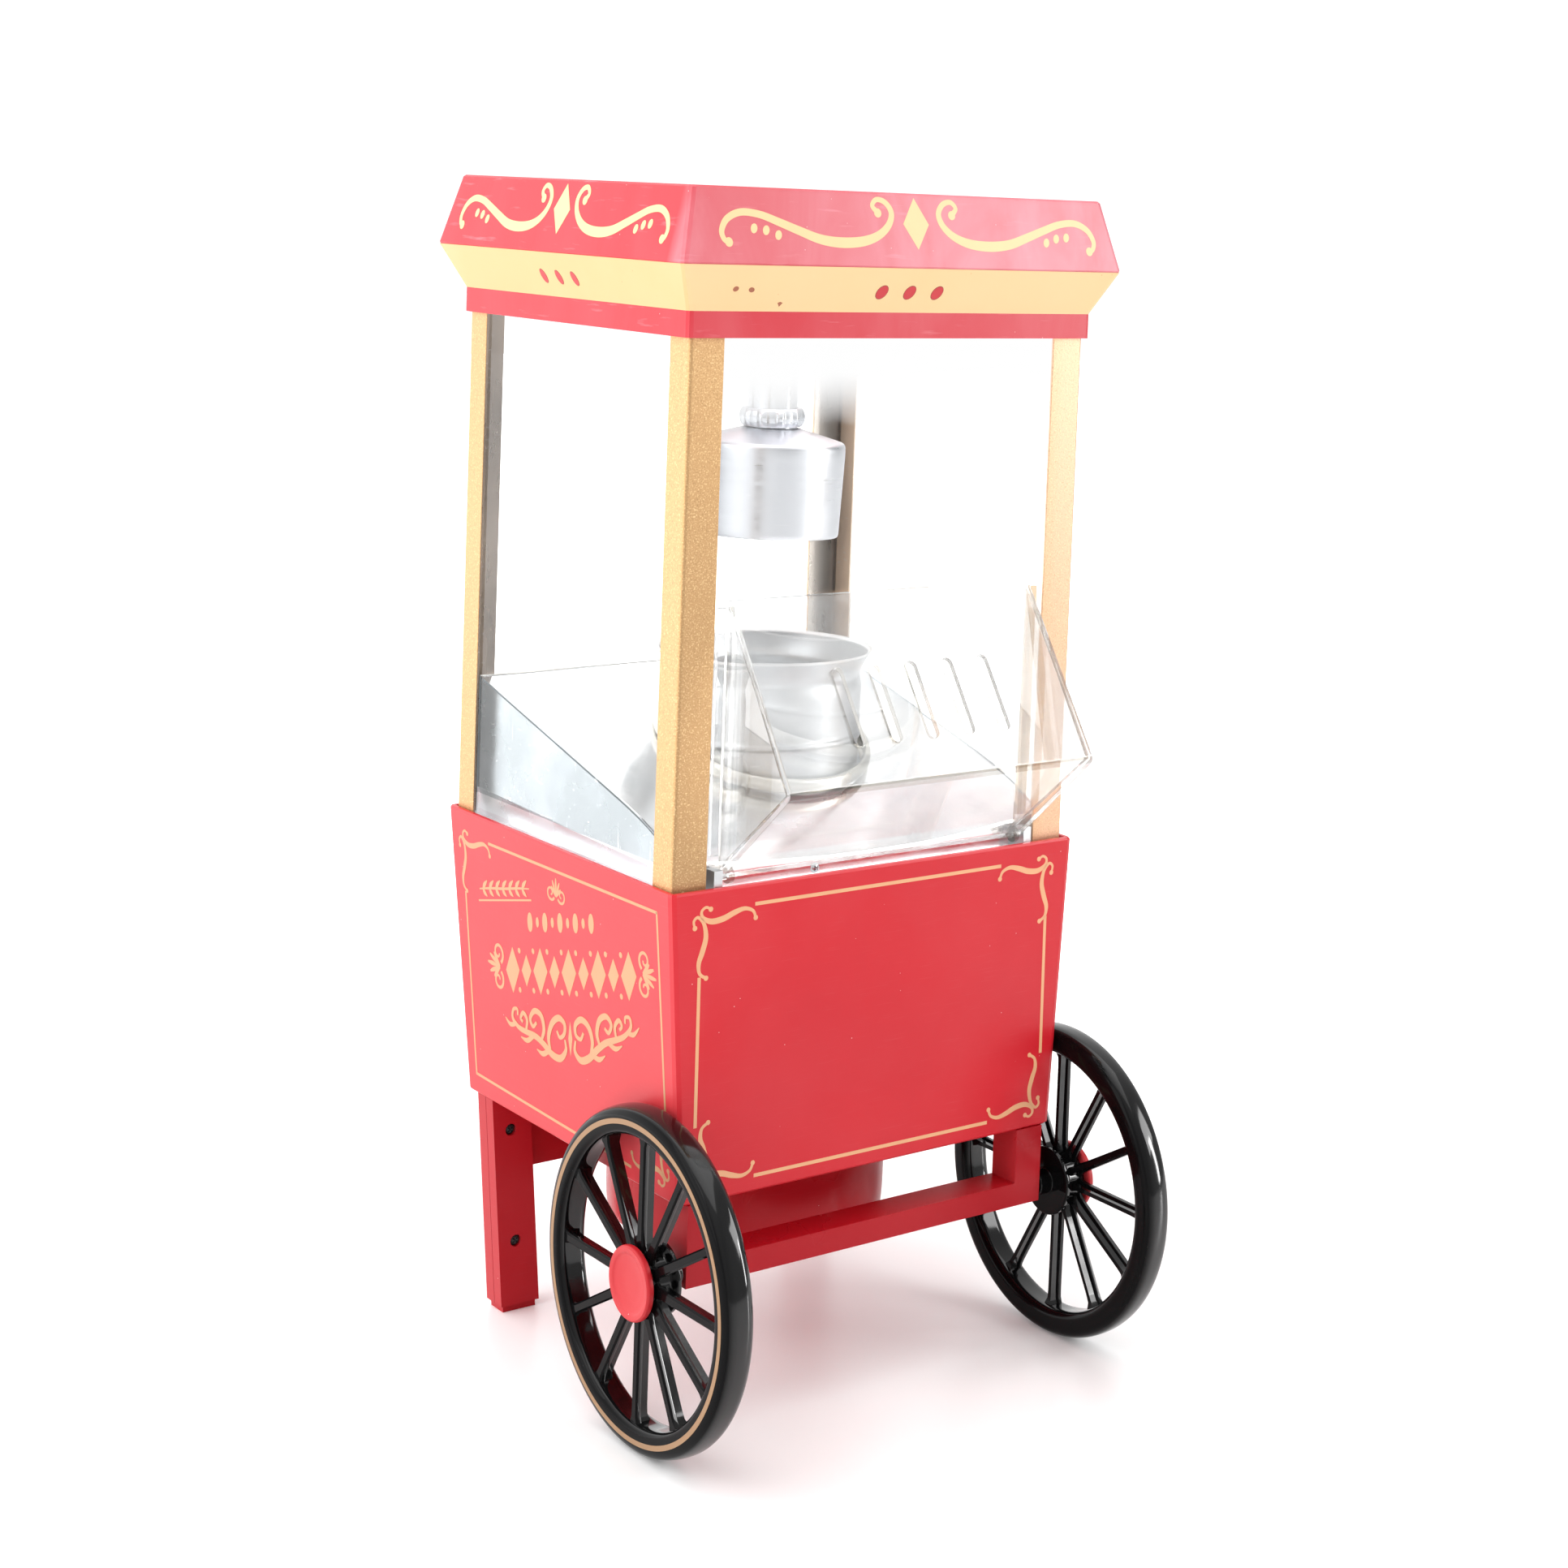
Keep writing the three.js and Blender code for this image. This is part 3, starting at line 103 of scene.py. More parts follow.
class Shader:
    """A node material around one Principled BSDF, with short calls for the nodes it needs."""

    def __init__(self, name, color, roughness, metallic=0.0, specular=0.5):
        self.material = bpy.data.materials.new(name)
        self.material.use_nodes = True
        self.nodes = self.material.node_tree.nodes
        self.links = self.material.node_tree.links
        self.bsdf = self.nodes["Principled BSDF"]
        self.output = self.nodes["Material Output"]
        self.color = self.rgb(color)
        self.rough = self.number(roughness)
        self.bsdf.inputs["Metallic"].default_value = metallic
        self.bsdf.inputs["Specular IOR Level"].default_value = specular
        place = self.nodes.new("ShaderNodeTexCoord")
        self.coords, self.normals = place.outputs["Object"], place.outputs["Normal"]

    def rgb(self, color):
        node = self.nodes.new("ShaderNodeRGB")
        node.outputs[0].default_value = (*color, 1)
        return node.outputs[0]

    def number(self, value):
        node = self.nodes.new("ShaderNodeValue")
        node.outputs[0].default_value = value
        return node.outputs[0]

    def stretched(self, scale):
        node = self.nodes.new("ShaderNodeMapping")
        node.inputs["Scale"].default_value = scale
        self.links.new(self.coords, node.inputs["Vector"])
        return node.outputs[0]

    def noise(self, per_metre, stretch=(1, 1, 1), detail=3.0, distortion=0.0):
        node = self.nodes.new("ShaderNodeTexNoise")
        node.inputs["Scale"].default_value = per_metre
        node.inputs["Detail"].default_value = detail
        node.inputs["Distortion"].default_value = distortion
        self.links.new(self.stretched(stretch), node.inputs["Vector"])
        return node.outputs["Fac"]

    def cells(self, per_metre, stretch=(1, 1, 1)):
        node = self.nodes.new("ShaderNodeTexVoronoi")
        node.inputs["Scale"].default_value = per_metre
        self.links.new(self.stretched(stretch), node.inputs["Vector"])
        return node.outputs["Distance"]

    def axis(self, letter):
        node = self.nodes.new("ShaderNodeSeparateXYZ")
        self.links.new(self.coords, node.inputs[0])
        return node.outputs[letter]

    def facing(self, direction, low, high):
        """Rises from 0 to 1 as the surface turns toward a direction in the cart's own axes."""
        node = self.nodes.new("ShaderNodeVectorMath")
        node.operation = "DOT_PRODUCT"
        node.inputs[1].default_value = direction
        self.links.new(self.normals, node.inputs[0])
        return self.remap(node.outputs["Value"], low, high)

    def glow(self, strength):
        self.links.new(self.color, self.bsdf.inputs["Emission Color"])
        self.bsdf.inputs["Emission Strength"].default_value = strength

    def math(self, kind, a, b=None):
        node = self.nodes.new("ShaderNodeMath")
        node.operation = kind
        for slot, value in zip(node.inputs, (a, b)):
            if isinstance(value, (int, float)):
                slot.default_value = value
            elif value is not None:
                self.links.new(value, slot)
        return node.outputs[0]

    def remap(self, value, low, high, to_low=0.0, to_high=1.0):
        node = self.nodes.new("ShaderNodeMapRange")
        self.links.new(value, node.inputs["Value"])
        node.inputs["From Min"].default_value = low
        node.inputs["From Max"].default_value = high
        node.inputs["To Min"].default_value = to_low
        node.inputs["To Max"].default_value = to_high
        return node.outputs["Result"]

    def tint(self, share, color):
        node = self.nodes.new("ShaderNodeMix")
        node.data_type = "RGBA"
        self.links.new(share, node.inputs["Factor"])
        self.links.new(self.color, node.inputs["A"])
        node.inputs["B"].default_value = (*color, 1)
        self.color = node.outputs["Result"]

    def add_roughness(self, value):
        self.rough = self.math("ADD", self.rough, value)

    def bump(self, height, distance_mm, strength=1.0):
        node = self.nodes.new("ShaderNodeBump")
        node.inputs["Strength"].default_value = strength
        node.inputs["Distance"].default_value = distance_mm * MM
        self.links.new(height, node.inputs["Height"])
        earlier = self.bsdf.inputs["Normal"].links
        if earlier:
            self.links.new(earlier[0].from_socket, node.inputs["Normal"])
        self.links.new(node.outputs[0], self.bsdf.inputs["Normal"])

    def coat(self, weight, roughness):
        self.bsdf.inputs["Coat Weight"].default_value = weight
        self.bsdf.inputs["Coat Roughness"].default_value = roughness

    def done(self):
        self.links.new(self.color, self.bsdf.inputs["Base Color"])
        self.links.new(self.rough, self.bsdf.inputs["Roughness"])
        return self.material


def red_plastic(name, haze_and_sheen=0.12, grain=(1, 1, 1), roughness=0.34, color=(0.60, 0.018, 0.034), specular=0.5):
    """Moulded red plastic, cloudy with handling, with hairline scratches and pale specks; faces turned to the left
    carry a painted pale sheen.
    """
    s = Shader(name, color, roughness, specular=specular)
    # Painted sheen: faces turned to the left are painted paler and pinker.
    s.tint(s.math("MULTIPLY", s.facing((-1, 0, 0), 0.6, 0.9), haze_and_sheen * 1.8), (0.95, 0.34, 0.35))
    cloud = s.noise(14, grain, detail=5, distortion=0.4)
    s.tint(s.remap(cloud, 0.42, 0.75, 0, haze_and_sheen), (0.86, 0.25, 0.28))
    s.tint(s.remap(s.noise(9, (1, 1, 1)), 0.35, 0.62, 0.14, 0), (0.33, 0.004, 0.012))
    streak = s.noise(60, (1, 1, 34), detail=6)
    s.tint(s.remap(streak, 0.60, 0.80, 0, haze_and_sheen), (0.90, 0.34, 0.36))
    speck = s.cells(130)
    s.tint(s.remap(speck, 0.030, 0.022, 0, 0.75), (0.95, 0.72, 0.68))
    s.add_roughness(s.remap(cloud, 0.3, 0.8, -0.05, 0.12))
    s.bump(s.noise(420, detail=2), 0.05, 0.35)
    s.bump(s.noise(22, detail=1), 0.6, 0.10)
    return s.done()


def sheened_roof():
    """Red plastic with a milky sheen painted on the door end, a painted highlight that thickens toward the right, in
    upright cloudy strokes.
    """
    s = Shader("red_roof", (0.60, 0.020, 0.034), 0.34, specular=0.30)
    cloud = s.noise(26, (1, 1, 0.35), detail=5, distortion=0.6)
    streak = s.noise(48, (1, 1, 9), detail=6)
    s.tint(s.remap(cloud, 0.40, 0.75, 0, 0.10), (0.90, 0.30, 0.34))
    # Painted sheen: a pale pink on the door end that grows toward the right, weaker on the collar and broken by the
    # clouds.
    front = s.remap(s.axis("Y"), -0.058, -0.064, 0, 1)
    drift = s.remap(s.axis("X"), -0.12, 0.11, 0.16, 0.34)
    painted_sheen = s.math("MULTIPLY", front, s.math("MULTIPLY", drift, s.remap(cloud, 0.30, 0.70, 0.55, 1.45)))
    s.tint(s.math("MULTIPLY", painted_sheen, s.remap(s.axis("Z"), 0.4512, 0.4516, 0.35, 1.0)), (0.98, 0.70, 0.80))
    s.tint(s.remap(streak, 0.62, 0.80, 0, 0.25), (0.95, 0.50, 0.56))
    speck = s.cells(120)
    s.tint(s.remap(speck, 0.030, 0.022, 0, 0.6), (0.95, 0.72, 0.68))
    s.add_roughness(s.remap(cloud, 0.3, 0.8, -0.05, 0.12))
    s.bump(s.noise(420, detail=2), 0.05, 0.35)
    s.bump(s.noise(22, detail=1), 0.6, 0.10)
    return s.done()


def paint(name, color, roughness=0.42, wear=(0.60, 0.20, 0.10), wear_share=0.25):
    """Printed decoration, slightly uneven, with a little of the ground showing through."""
    s = Shader(name, color, roughness)
    s.tint(s.remap(s.noise(90, detail=5), 0.45, 0.85, 0, 0.16), tuple(c * 0.72 for c in color))
    s.tint(s.remap(s.noise(700, detail=4), 0.70, 0.80, 0, wear_share), wear)
    s.bump(s.noise(900, detail=2), 0.02, 0.3)
    return s.done()


def cream_plastic():
    s = Shader("cream_band", (0.90, 0.58, 0.29), 0.40)
    # Painted shade: faces turned to the left are painted a darker, deeper yellow.
    s.tint(s.facing((-1, 0, 0), 0.5, 0.8), (0.86, 0.47, 0.20))
    s.tint(s.remap(s.noise(16, detail=4), 0.4, 0.8, 0, 0.18), (0.96, 0.74, 0.46))
    s.tint(s.remap(s.cells(95), 0.035, 0.020, 0, 0.6), (0.55, 0.24, 0.10))
    s.bump(s.noise(380, detail=2), 0.04, 0.3)
    s.bump(s.noise(20, detail=1), 0.5, 0.08)
    return s.done()


def bronze_powder():
    """Fine textured metallic powder coat; the right posts are painted lighter and pinker (painted highlight), and the
    front of the left front post is painted darker low down (painted shade).
    """
    s = Shader("bronze_powder", (0.60, 0.36, 0.155), 0.40, metallic=0.45)
    # Painted highlight: the right posts are lighter and pinker.
    s.tint(s.remap(s.axis("X"), 0.06, 0.09, 0, 0.30), (0.92, 0.56, 0.54))
    # Painted shade: the front of the left front post darkens toward the bottom.
    low_front_shade = s.math("MULTIPLY", s.facing((0, -1, 0), 0.5, 0.9), s.remap(s.axis("X"), 0.02, -0.02))
    s.tint(s.math("MULTIPLY", low_front_shade, s.remap(s.axis("Z"), 0.44, 0.26, 0.25, 0.75)), (0.40, 0.235, 0.105))
    grain = s.noise(1500, detail=3)
    s.tint(s.remap(grain, 0.55, 0.72, 0, 0.55), (0.98, 0.76, 0.42))
    s.tint(s.remap(grain, 0.44, 0.30, 0, 0.55), (0.30, 0.17, 0.07))
    s.tint(s.remap(s.noise(11, (1, 1, 0.25), detail=4), 0.45, 0.75, 0, 0.28), (0.42, 0.24, 0.09))
    s.add_roughness(s.remap(grain, 0.3, 0.7, -0.08, 0.10))
    s.bump(s.noise(1100, detail=3), 0.10, 0.45)
    return s.done()


def bare_angle():
    """Unpainted inner faces of the corner angles, dark and mirror-like, with long rub marks; on the left posts they
    are painted much darker, a painted shade.
    """
    s = Shader("bare_angle", (0.80, 0.71, 0.64), 0.26, metallic=0.75)
    # Painted shade: the inner faces on the left posts are darkened.
    s.tint(s.remap(s.axis("X"), 0.02, -0.02, 0, 0.85), (0.22, 0.155, 0.11))
    s.tint(s.remap(s.noise(30, (1, 1, 0.12), detail=6), 0.40, 0.70, 0, 0.5), (0.16, 0.14, 0.12))
    s.tint(s.remap(s.noise(260, (1, 1, 9), detail=5), 0.66, 0.74, 0, 0.7), (0.62, 0.60, 0.58))
    s.add_roughness(s.remap(s.noise(120, (1, 1, 0.3), detail=4), 0.3, 0.7, -0.05, 0.16))
    s.bump(s.noise(90, (1, 1, 0.4), detail=3), 0.08, 0.3)
    return s.done()


def warm_angle():
    """Inner faces of the side flanges: a warmer, lighter metal than the other inner faces, with darker clouds and
    pale streaks.
    """
    s = Shader("warm_angle", (0.92, 0.66, 0.48), 0.30, metallic=0.6)
    s.tint(s.remap(s.noise(36, (1, 1, 0.3), detail=6), 0.46, 0.68, 0, 0.6), (0.36, 0.27, 0.21))
    s.tint(s.remap(s.noise(200, (1, 1, 6), detail=5), 0.64, 0.72, 0, 0.6), (0.85, 0.83, 0.80))
    s.bump(s.noise(90, (1, 1, 0.4), detail=3), 0.08, 0.3)
    return s.done()


def black_gloss():
    """High gloss black plastic with dust, small nicks and a soft ripple."""
    s = Shader("black_gloss", (0.0030, 0.0030, 0.0033), 0.07)
    s.links.new(s.remap(s.facing((-1, 0, 0), 0.15, 0.7), 0, 1, 0.55, 0.07), s.bsdf.inputs["Specular IOR Level"])
    s.tint(s.remap(s.cells(210), 0.040, 0.026, 0, 0.3), (0.16, 0.15, 0.14))
    s.add_roughness(s.remap(s.noise(60, detail=5), 0.4, 0.8, 0, 0.08))
    s.bump(s.noise(60, detail=2), 0.16, 0.16)
    return s.done()


def black_matte():
    s = Shader("black_matte", (0.018, 0.018, 0.019), 0.55)
    s.tint(s.remap(s.noise(140, detail=4), 0.5, 0.8, 0, 0.5), (0.05, 0.05, 0.05))
    s.bump(s.noise(1200, detail=2), 0.05, 0.5)
    return s.done()


def spun_metal(name, color, roughness, shaded, lines=900.0, line_depth=0.02, rim_highlight_height=9.0):
    """Turned aluminium: fine rings left by spinning, hairline scratches and a few dents; faces turned toward the
    bright side are painted darker (painted shade), and above a given rim height the metal is painted lighter (painted
    highlight).
    """
    s = Shader(name, color, roughness, metallic=1.0)
    rings = s.noise(lines, (0.02, 0.02, 1), detail=3)
    s.add_roughness(s.remap(rings, 0.3, 0.7, -0.05, 0.10))
    s.add_roughness(s.remap(s.noise(35, detail=5), 0.4, 0.75, 0, 0.13))
    scratch = s.noise(240, (0.5, 0.5, 7), detail=7, distortion=1.6)
    s.tint(s.remap(scratch, 0.66, 0.73, 0, 0.5), (0.97, 0.97, 0.97))
    s.tint(s.remap(s.noise(26, detail=5), 0.50, 0.80, 0, 0.45), (0.52, 0.54, 0.57))
    # Painted shade: faces turned toward the bright side are darkened.
    s.tint(s.facing(BRIGHT_SIDE, -0.15, 0.45), shaded)
    # Painted highlight: the metal is lighter above the given rim height.
    s.tint(s.remap(s.axis("Z"), rim_highlight_height, rim_highlight_height + 0.0006, 0, 0.9), (0.93, 0.93, 0.92))
    s.bump(rings, line_depth, 0.5)
    s.bump(s.noise(28, detail=2), 0.5, 0.12)
    return s.done()


def rolled_sheet(name, color=(0.78, 0.80, 0.82), roughness=0.17, glow=0.0, highlight_below=-9.0):
    """Bright rolled sheet with soft buckles and crossing scratches; below a given height it is painted lighter
    (painted highlight), and a glow makes it shine though it is no lamp (painted light).
    """
    s = Shader(name, color, roughness, metallic=1.0)
    s.add_roughness(s.remap(s.noise(40, detail=6), 0.35, 0.75, -0.03, 0.20))
    for stretch in ((3, 14, 1), (14, 2, 5), (7, 9, 12)):
        scratch = s.noise(55, stretch, detail=8, distortion=0.8)
        s.tint(s.remap(scratch, 0.68, 0.74, 0, 0.5), (0.98, 0.98, 0.98))
    s.tint(s.remap(s.noise(24, detail=5), 0.45, 0.80, 0, 0.5), (0.58, 0.62, 0.66))
    # Painted highlight: the sheet is lighter below the given height.
    s.tint(s.remap(s.axis("Z"), highlight_below, highlight_below - 0.0004, 0, 0.8), (0.80, 0.80, 0.82))
    s.bump(s.noise(16, detail=2), 1.1, 0.14)
    s.bump(s.noise(600, detail=3), 0.015, 0.5)
    # The glow is painted light: the sheet is no lamp.
    s.glow(glow)
    return s.done()


def plain_steel():
    s = Shader("zinc_steel", (0.56, 0.57, 0.58), 0.30, metallic=1.0)
    s.add_roughness(s.remap(s.noise(180, detail=5), 0.3, 0.7, -0.06, 0.14))
    s.tint(s.remap(s.noise(70, detail=4), 0.45, 0.8, 0, 0.5), (0.36, 0.37, 0.38))
    s.bump(s.noise(700, detail=2), 0.02, 0.5)
    return s.done()


def dull(name, color, roughness=0.6, metallic=0.0, glow=0.0):
    s = Shader(name, color, roughness, metallic)
    s.tint(s.remap(s.noise(160, detail=5), 0.4, 0.8, 0, 0.4), tuple(c * 0.6 for c in color))
    s.bump(s.noise(800, detail=2), 0.03, 0.5)
    # A glow here is painted light: the part is no lamp.
    s.glow(glow)
    return s.done()


def veiled(s, surface):
    """Painted reflection: a white glow of the bright surroundings over the upper part of the sheet."""
    white = s.nodes.new("ShaderNodeEmission")
    veil = s.nodes.new("ShaderNodeMixShader")
    height = s.math("ADD", s.axis("Z"), s.remap(s.noise(30, detail=2), 0.3, 0.7, -0.003, 0.003))
    s.links.new(s.remap(height, 0.404, 0.425, 0.0, 0.95), veil.inputs[0])
    s.links.new(surface, veil.inputs[1])
    s.links.new(white.outputs[0], veil.inputs[2])
    return veil.outputs[0]


def clear_sheet(name, tint=(0.99, 0.995, 0.995), refract=True, veil=False):
    """Clear acrylic. Lamps and soft light pass straight through it, so nothing inside goes dark."""
    s = Shader(name, tint, 0.0)
    s.bsdf.inputs["Transmission Weight"].default_value = 1.0
    s.bsdf.inputs["IOR"].default_value = 1.49
    scratch = s.noise(60, (5, 9, 16), detail=8, distortion=0.7)
    s.add_roughness(s.remap(scratch, 0.70, 0.76, 0, 0.25))
    s.bump(s.noise(9, detail=2), 0.6, 0.05)
    s.done()
    clear = s.nodes.new("ShaderNodeBsdfTransparent")
    clear.inputs[0].default_value = (*tint, 1)
    path = s.nodes.new("ShaderNodeLightPath")
    if refract:
        faint = s.nodes.new("ShaderNodeMixShader")
        below = s.math("MAXIMUM", s.facing(UNDERSIDE, 0.80, 0.95), s.facing([-n for n in UNDERSIDE], 0.80, 0.95))
        s.links.new(s.remap(below, 0, 1, 0.30, 0.85), faint.inputs[0])
        s.links.new(s.bsdf.outputs[0], faint.inputs[1])
        s.links.new(clear.outputs[0], faint.inputs[2])
        surface = faint.outputs[0]
    else:
        gloss = s.nodes.new("ShaderNodeBsdfGlossy")
        gloss.inputs["Roughness"].default_value = 0.02
        edge = s.nodes.new("ShaderNodeFresnel")
        edge.inputs["IOR"].default_value = 1.35
        outside = s.math("SUBTRACT", 1.0, s.nodes.new("ShaderNodeNewGeometry").outputs["Backfacing"])
        share = s.math("ADD", edge.outputs[0], s.remap(scratch, 0.71, 0.77, 0, 0.30))
        sheen = s.nodes.new("ShaderNodeMixShader")
        s.links.new(s.math("MULTIPLY", share, outside), sheen.inputs[0])
        s.links.new(clear.outputs[0], sheen.inputs[1])
        s.links.new(gloss.outputs[0], sheen.inputs[2])
        surface = veiled(s, sheen.outputs[0]) if veil else sheen.outputs[0]
    through = s.math("MAXIMUM", path.outputs["Is Shadow Ray"], path.outputs["Is Diffuse Ray"])
    chooser = s.nodes.new("ShaderNodeMixShader")
    s.links.new(through, chooser.inputs[0])
    s.links.new(surface, chooser.inputs[1])
    s.links.new(clear.outputs[0], chooser.inputs[2])
    s.links.new(chooser.outputs[0], s.output.inputs["Surface"])
    return s.material


RED_TUB = red_plastic("red_tub", haze_and_sheen=0.055, color=(0.63, 0.012, 0.022), specular=0.30)
RED_ROOF = sheened_roof()
RED_LEG = red_plastic("red_leg", haze_and_sheen=0.03, roughness=0.30, color=(0.44, 0.007, 0.014), specular=0.18)
RED_CAP = red_plastic("red_cap", haze_and_sheen=0.04, roughness=0.36, color=(0.52, 0.010, 0.016), specular=0.3)
RED_CUP = red_plastic("red_cup", haze_and_sheen=0.08)
CREAM = cream_plastic()
CREAM_PAINT = paint("cream_paint", (0.88, 0.60, 0.29))
GOLD_PAINT = paint("gold_paint", (0.78, 0.40, 0.20))
SIDE_GOLD = paint("side_gold", (0.58, 0.30, 0.15))
RING_GOLD = paint("ring_gold", (0.31, 0.17, 0.078), 0.3)
OVAL_PAINT = paint("oval_paint", (0.56, 0.02, 0.03))
CHIP_PAINT = paint("chip_paint", (0.36, 0.11, 0.05))
OUTLINE_PAINT = paint("outline_paint", (0.20, 0.05, 0.03))
BRONZE = bronze_powder()
BARE_ANGLE = bare_angle()
WARM_ANGLE = warm_angle()
BLACK_GLOSS = black_gloss()
BLACK_MATTE = black_matte()
# The last colour given to each spun metal is its painted shade for faces turned toward the bright side; the kettle
# also has a painted highlight on its rim.
HOOD_METAL = spun_metal("hood_metal", (0.74, 0.75, 0.78), 0.30, (0.26, 0.265, 0.28), line_depth=0.008)
NECK_METAL = spun_metal("neck_metal", (0.66, 0.68, 0.72), 0.14, (0.28, 0.29, 0.31), line_depth=0.008)
POT_METAL = spun_metal("pot_metal", (0.52, 0.53, 0.54), 0.34, (0.30, 0.305, 0.31), rim_highlight_height=0.2985)
# The tray sheets glow though they are no lamp (painted light); the sides are also painted lighter low down (painted
# highlight).
TRAY_METAL = rolled_sheet("tray_metal", (0.95, 0.94, 0.937), 0.10, glow=0.08)
TRAY_SIDE = rolled_sheet("tray_side", (0.30, 0.325, 0.34), 0.22, glow=0.38, highlight_below=0.2293)
COLLAR_METAL = rolled_sheet("collar_metal", (0.66, 0.64, 0.58), 0.30)
# The ceiling glows though it is no lamp: painted light that brightens the metal below and its reflections.
CEILING_METAL = dull("pale_ceiling", (0.96, 0.93, 0.93), 0.5, glow=1.1)
STEEL = plain_steel()
PANE = clear_sheet("clear_pane", refract=False)
# The front pane carries a painted white reflection over its upper part.
FRONT_PANE = clear_sheet("front_pane", refract=False, veil=True)
DOOR_CLEAR = clear_sheet("clear_door")
CUT_EDGE = clear_sheet("cut_edge", tint=(0.74, 0.72, 0.69), refract=False)
EDGE_SMOKE = clear_sheet("smoky_edge", tint=(0.70, 0.60, 0.50), refract=False)
COPPER = dull("heater_wire", (0.45, 0.20, 0.10), 0.4, 0.8)
MICA = dull("mica", (0.62, 0.52, 0.36))

# ------------------------------------------------------------------ mesh helpers


def smooth_by_angle(mesh, degrees):
    mesh.shade_smooth()
    mesh.set_sharp_from_angle(angle=math.radians(degrees))


def level_normals(obj):
    """Let large flat faces keep their own shading next to small rounded edges."""
    even = obj.modifiers.new("even", "WEIGHTED_NORMAL")
    even.keep_sharp = True


def piece(name, verts, faces, materials, body, slot, replaces=(), angle=35, placed=False, pick=None):
    """A visual piece from points in cabinet millimetres. pick(normal, centre) gives a face's material index."""
    points = verts if placed else [at(*v) for v in verts]
    mesh = bpy.data.meshes.new(name)
    mesh.from_pydata(points, [], faces)
    return from_mesh(name, mesh, materials, body, slot, replaces, angle, pick)


def from_mesh(name, mesh, materials, body, slot, replaces=(), angle=35, pick=None):
    bm = bmesh.new()
    bm.from_mesh(mesh)
    bmesh.ops.remove_doubles(bm, verts=bm.verts, dist=1e-7)
    bmesh.ops.recalc_face_normals(bm, faces=bm.faces)
    bm.to_mesh(mesh)
    bm.free()
    smooth_by_angle(mesh, angle)
    for material in materials:
        mesh.materials.append(material)
    if pick:
        for face in mesh.polygons:
            face.material_index = pick(face.normal, face.center)
    obj = bpy.data.objects.new(name, mesh)
    bpy.context.scene.collection.objects.link(obj)
    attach(obj, body)
    level_normals(obj)
    if replaces:
        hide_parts(*replaces)
    return obj


def softened(line, radius, steps=4, closed=True):
    """The line with each corner turned into a small curve."""
    out = []
    count = len(line)
    for i, point in enumerate(line):
        here = Vector(point)
        if not closed and i in (0, count - 1):
            out.append(tuple(here))
            continue
        before, after = Vector(line[i - 1]), Vector(line[(i + 1) % count])
        reach_in = min(radius, 0.45 * (before - here).length)
        reach_out = min(radius, 0.45 * (after - here).length)
        a = here + (before - here).normalized() * reach_in
        b = here + (after - here).normalized() * reach_out
        for k in range(steps + 1):
            t = k / steps
            out.append(tuple(a * (1 - t) ** 2 + here * 2 * t * (1 - t) + b * t * t))
    return out


def revolve(profile, segments, place):
    """Closed profile of (radius, height) turned about an axis; place(radius, angle, height) gives the point."""
    verts, faces = [], []
    count = len(profile)
    for i in range(segments):
        angle = 2 * math.pi * i / segments
        verts += [place(max(r, 0.0), angle, h) for r, h in profile]
    for i in range(segments):
        j = (i + 1) % segments
        for k in range(count):
            m = (k + 1) % count
            if profile[k][0] <= 0 and profile[m][0] <= 0:
                continue
            faces.append((i * count + k, i * count + m, j * count + m, j * count + k))
    return verts, faces


def upright(radius, angle, height):
    return (radius * math.cos(angle), radius * math.sin(angle), height)


def walled(outside, wall):
    inside = [(r - wall, h) for r, h in reversed(outside)]
    return outside + inside


def joined(*parts):
    verts, faces = [], []
    for part_verts, part_faces in parts:
        base = len(verts)
        verts += part_verts
        faces += [tuple(base + i for i in face) for face in part_faces]
    return verts, faces


def prism(outline, low, high, place):
    """Closed outline between two heights; place(a, b, height) gives the point."""
    count = len(outline)
    verts = [place(a, b, h) for h in (low, high) for a, b in outline]
    faces = [tuple(range(count - 1, -1, -1)), tuple(range(count, 2 * count))]
    faces += [(i, (i + 1) % count, count + (i + 1) % count, count + i) for i in range(count)]
    return verts, faces


def curve_plate(outlines, thickness, edge):
    """Flat plate with eased edges from closed outlines (the first the outside, the rest holes), as a mesh."""
    data = bpy.data.curves.new("plate", "CURVE")
    data.dimensions = "2D"
    data.fill_mode = "BOTH"
    data.extrude = (thickness / 2 - edge) * MM
    data.bevel_depth = edge * MM
    data.offset = -edge * MM
    data.bevel_resolution = 2
    for outline in outlines:
        spline = data.splines.new("POLY")
        spline.points.add(len(outline) - 1)
        spline.use_cyclic_u = True
        for point, (a, b) in zip(spline.points, outline):
            point.co = (a * MM, b * MM, 0, 1)
    holder = bpy.data.objects.new("plate", data)
    bpy.context.scene.collection.objects.link(holder)
    bpy.context.view_layer.update()
    graph = bpy.context.evaluated_depsgraph_get()
    mesh = bpy.data.meshes.new_from_object(holder.evaluated_get(graph))
    bpy.data.objects.remove(holder)
    return mesh


def merged(name, meshes):
    bm = bmesh.new()
    for mesh in meshes:
        bm.from_mesh(mesh)
    out = bpy.data.meshes.new(name)
    bm.to_mesh(out)
    bm.free()
    return out


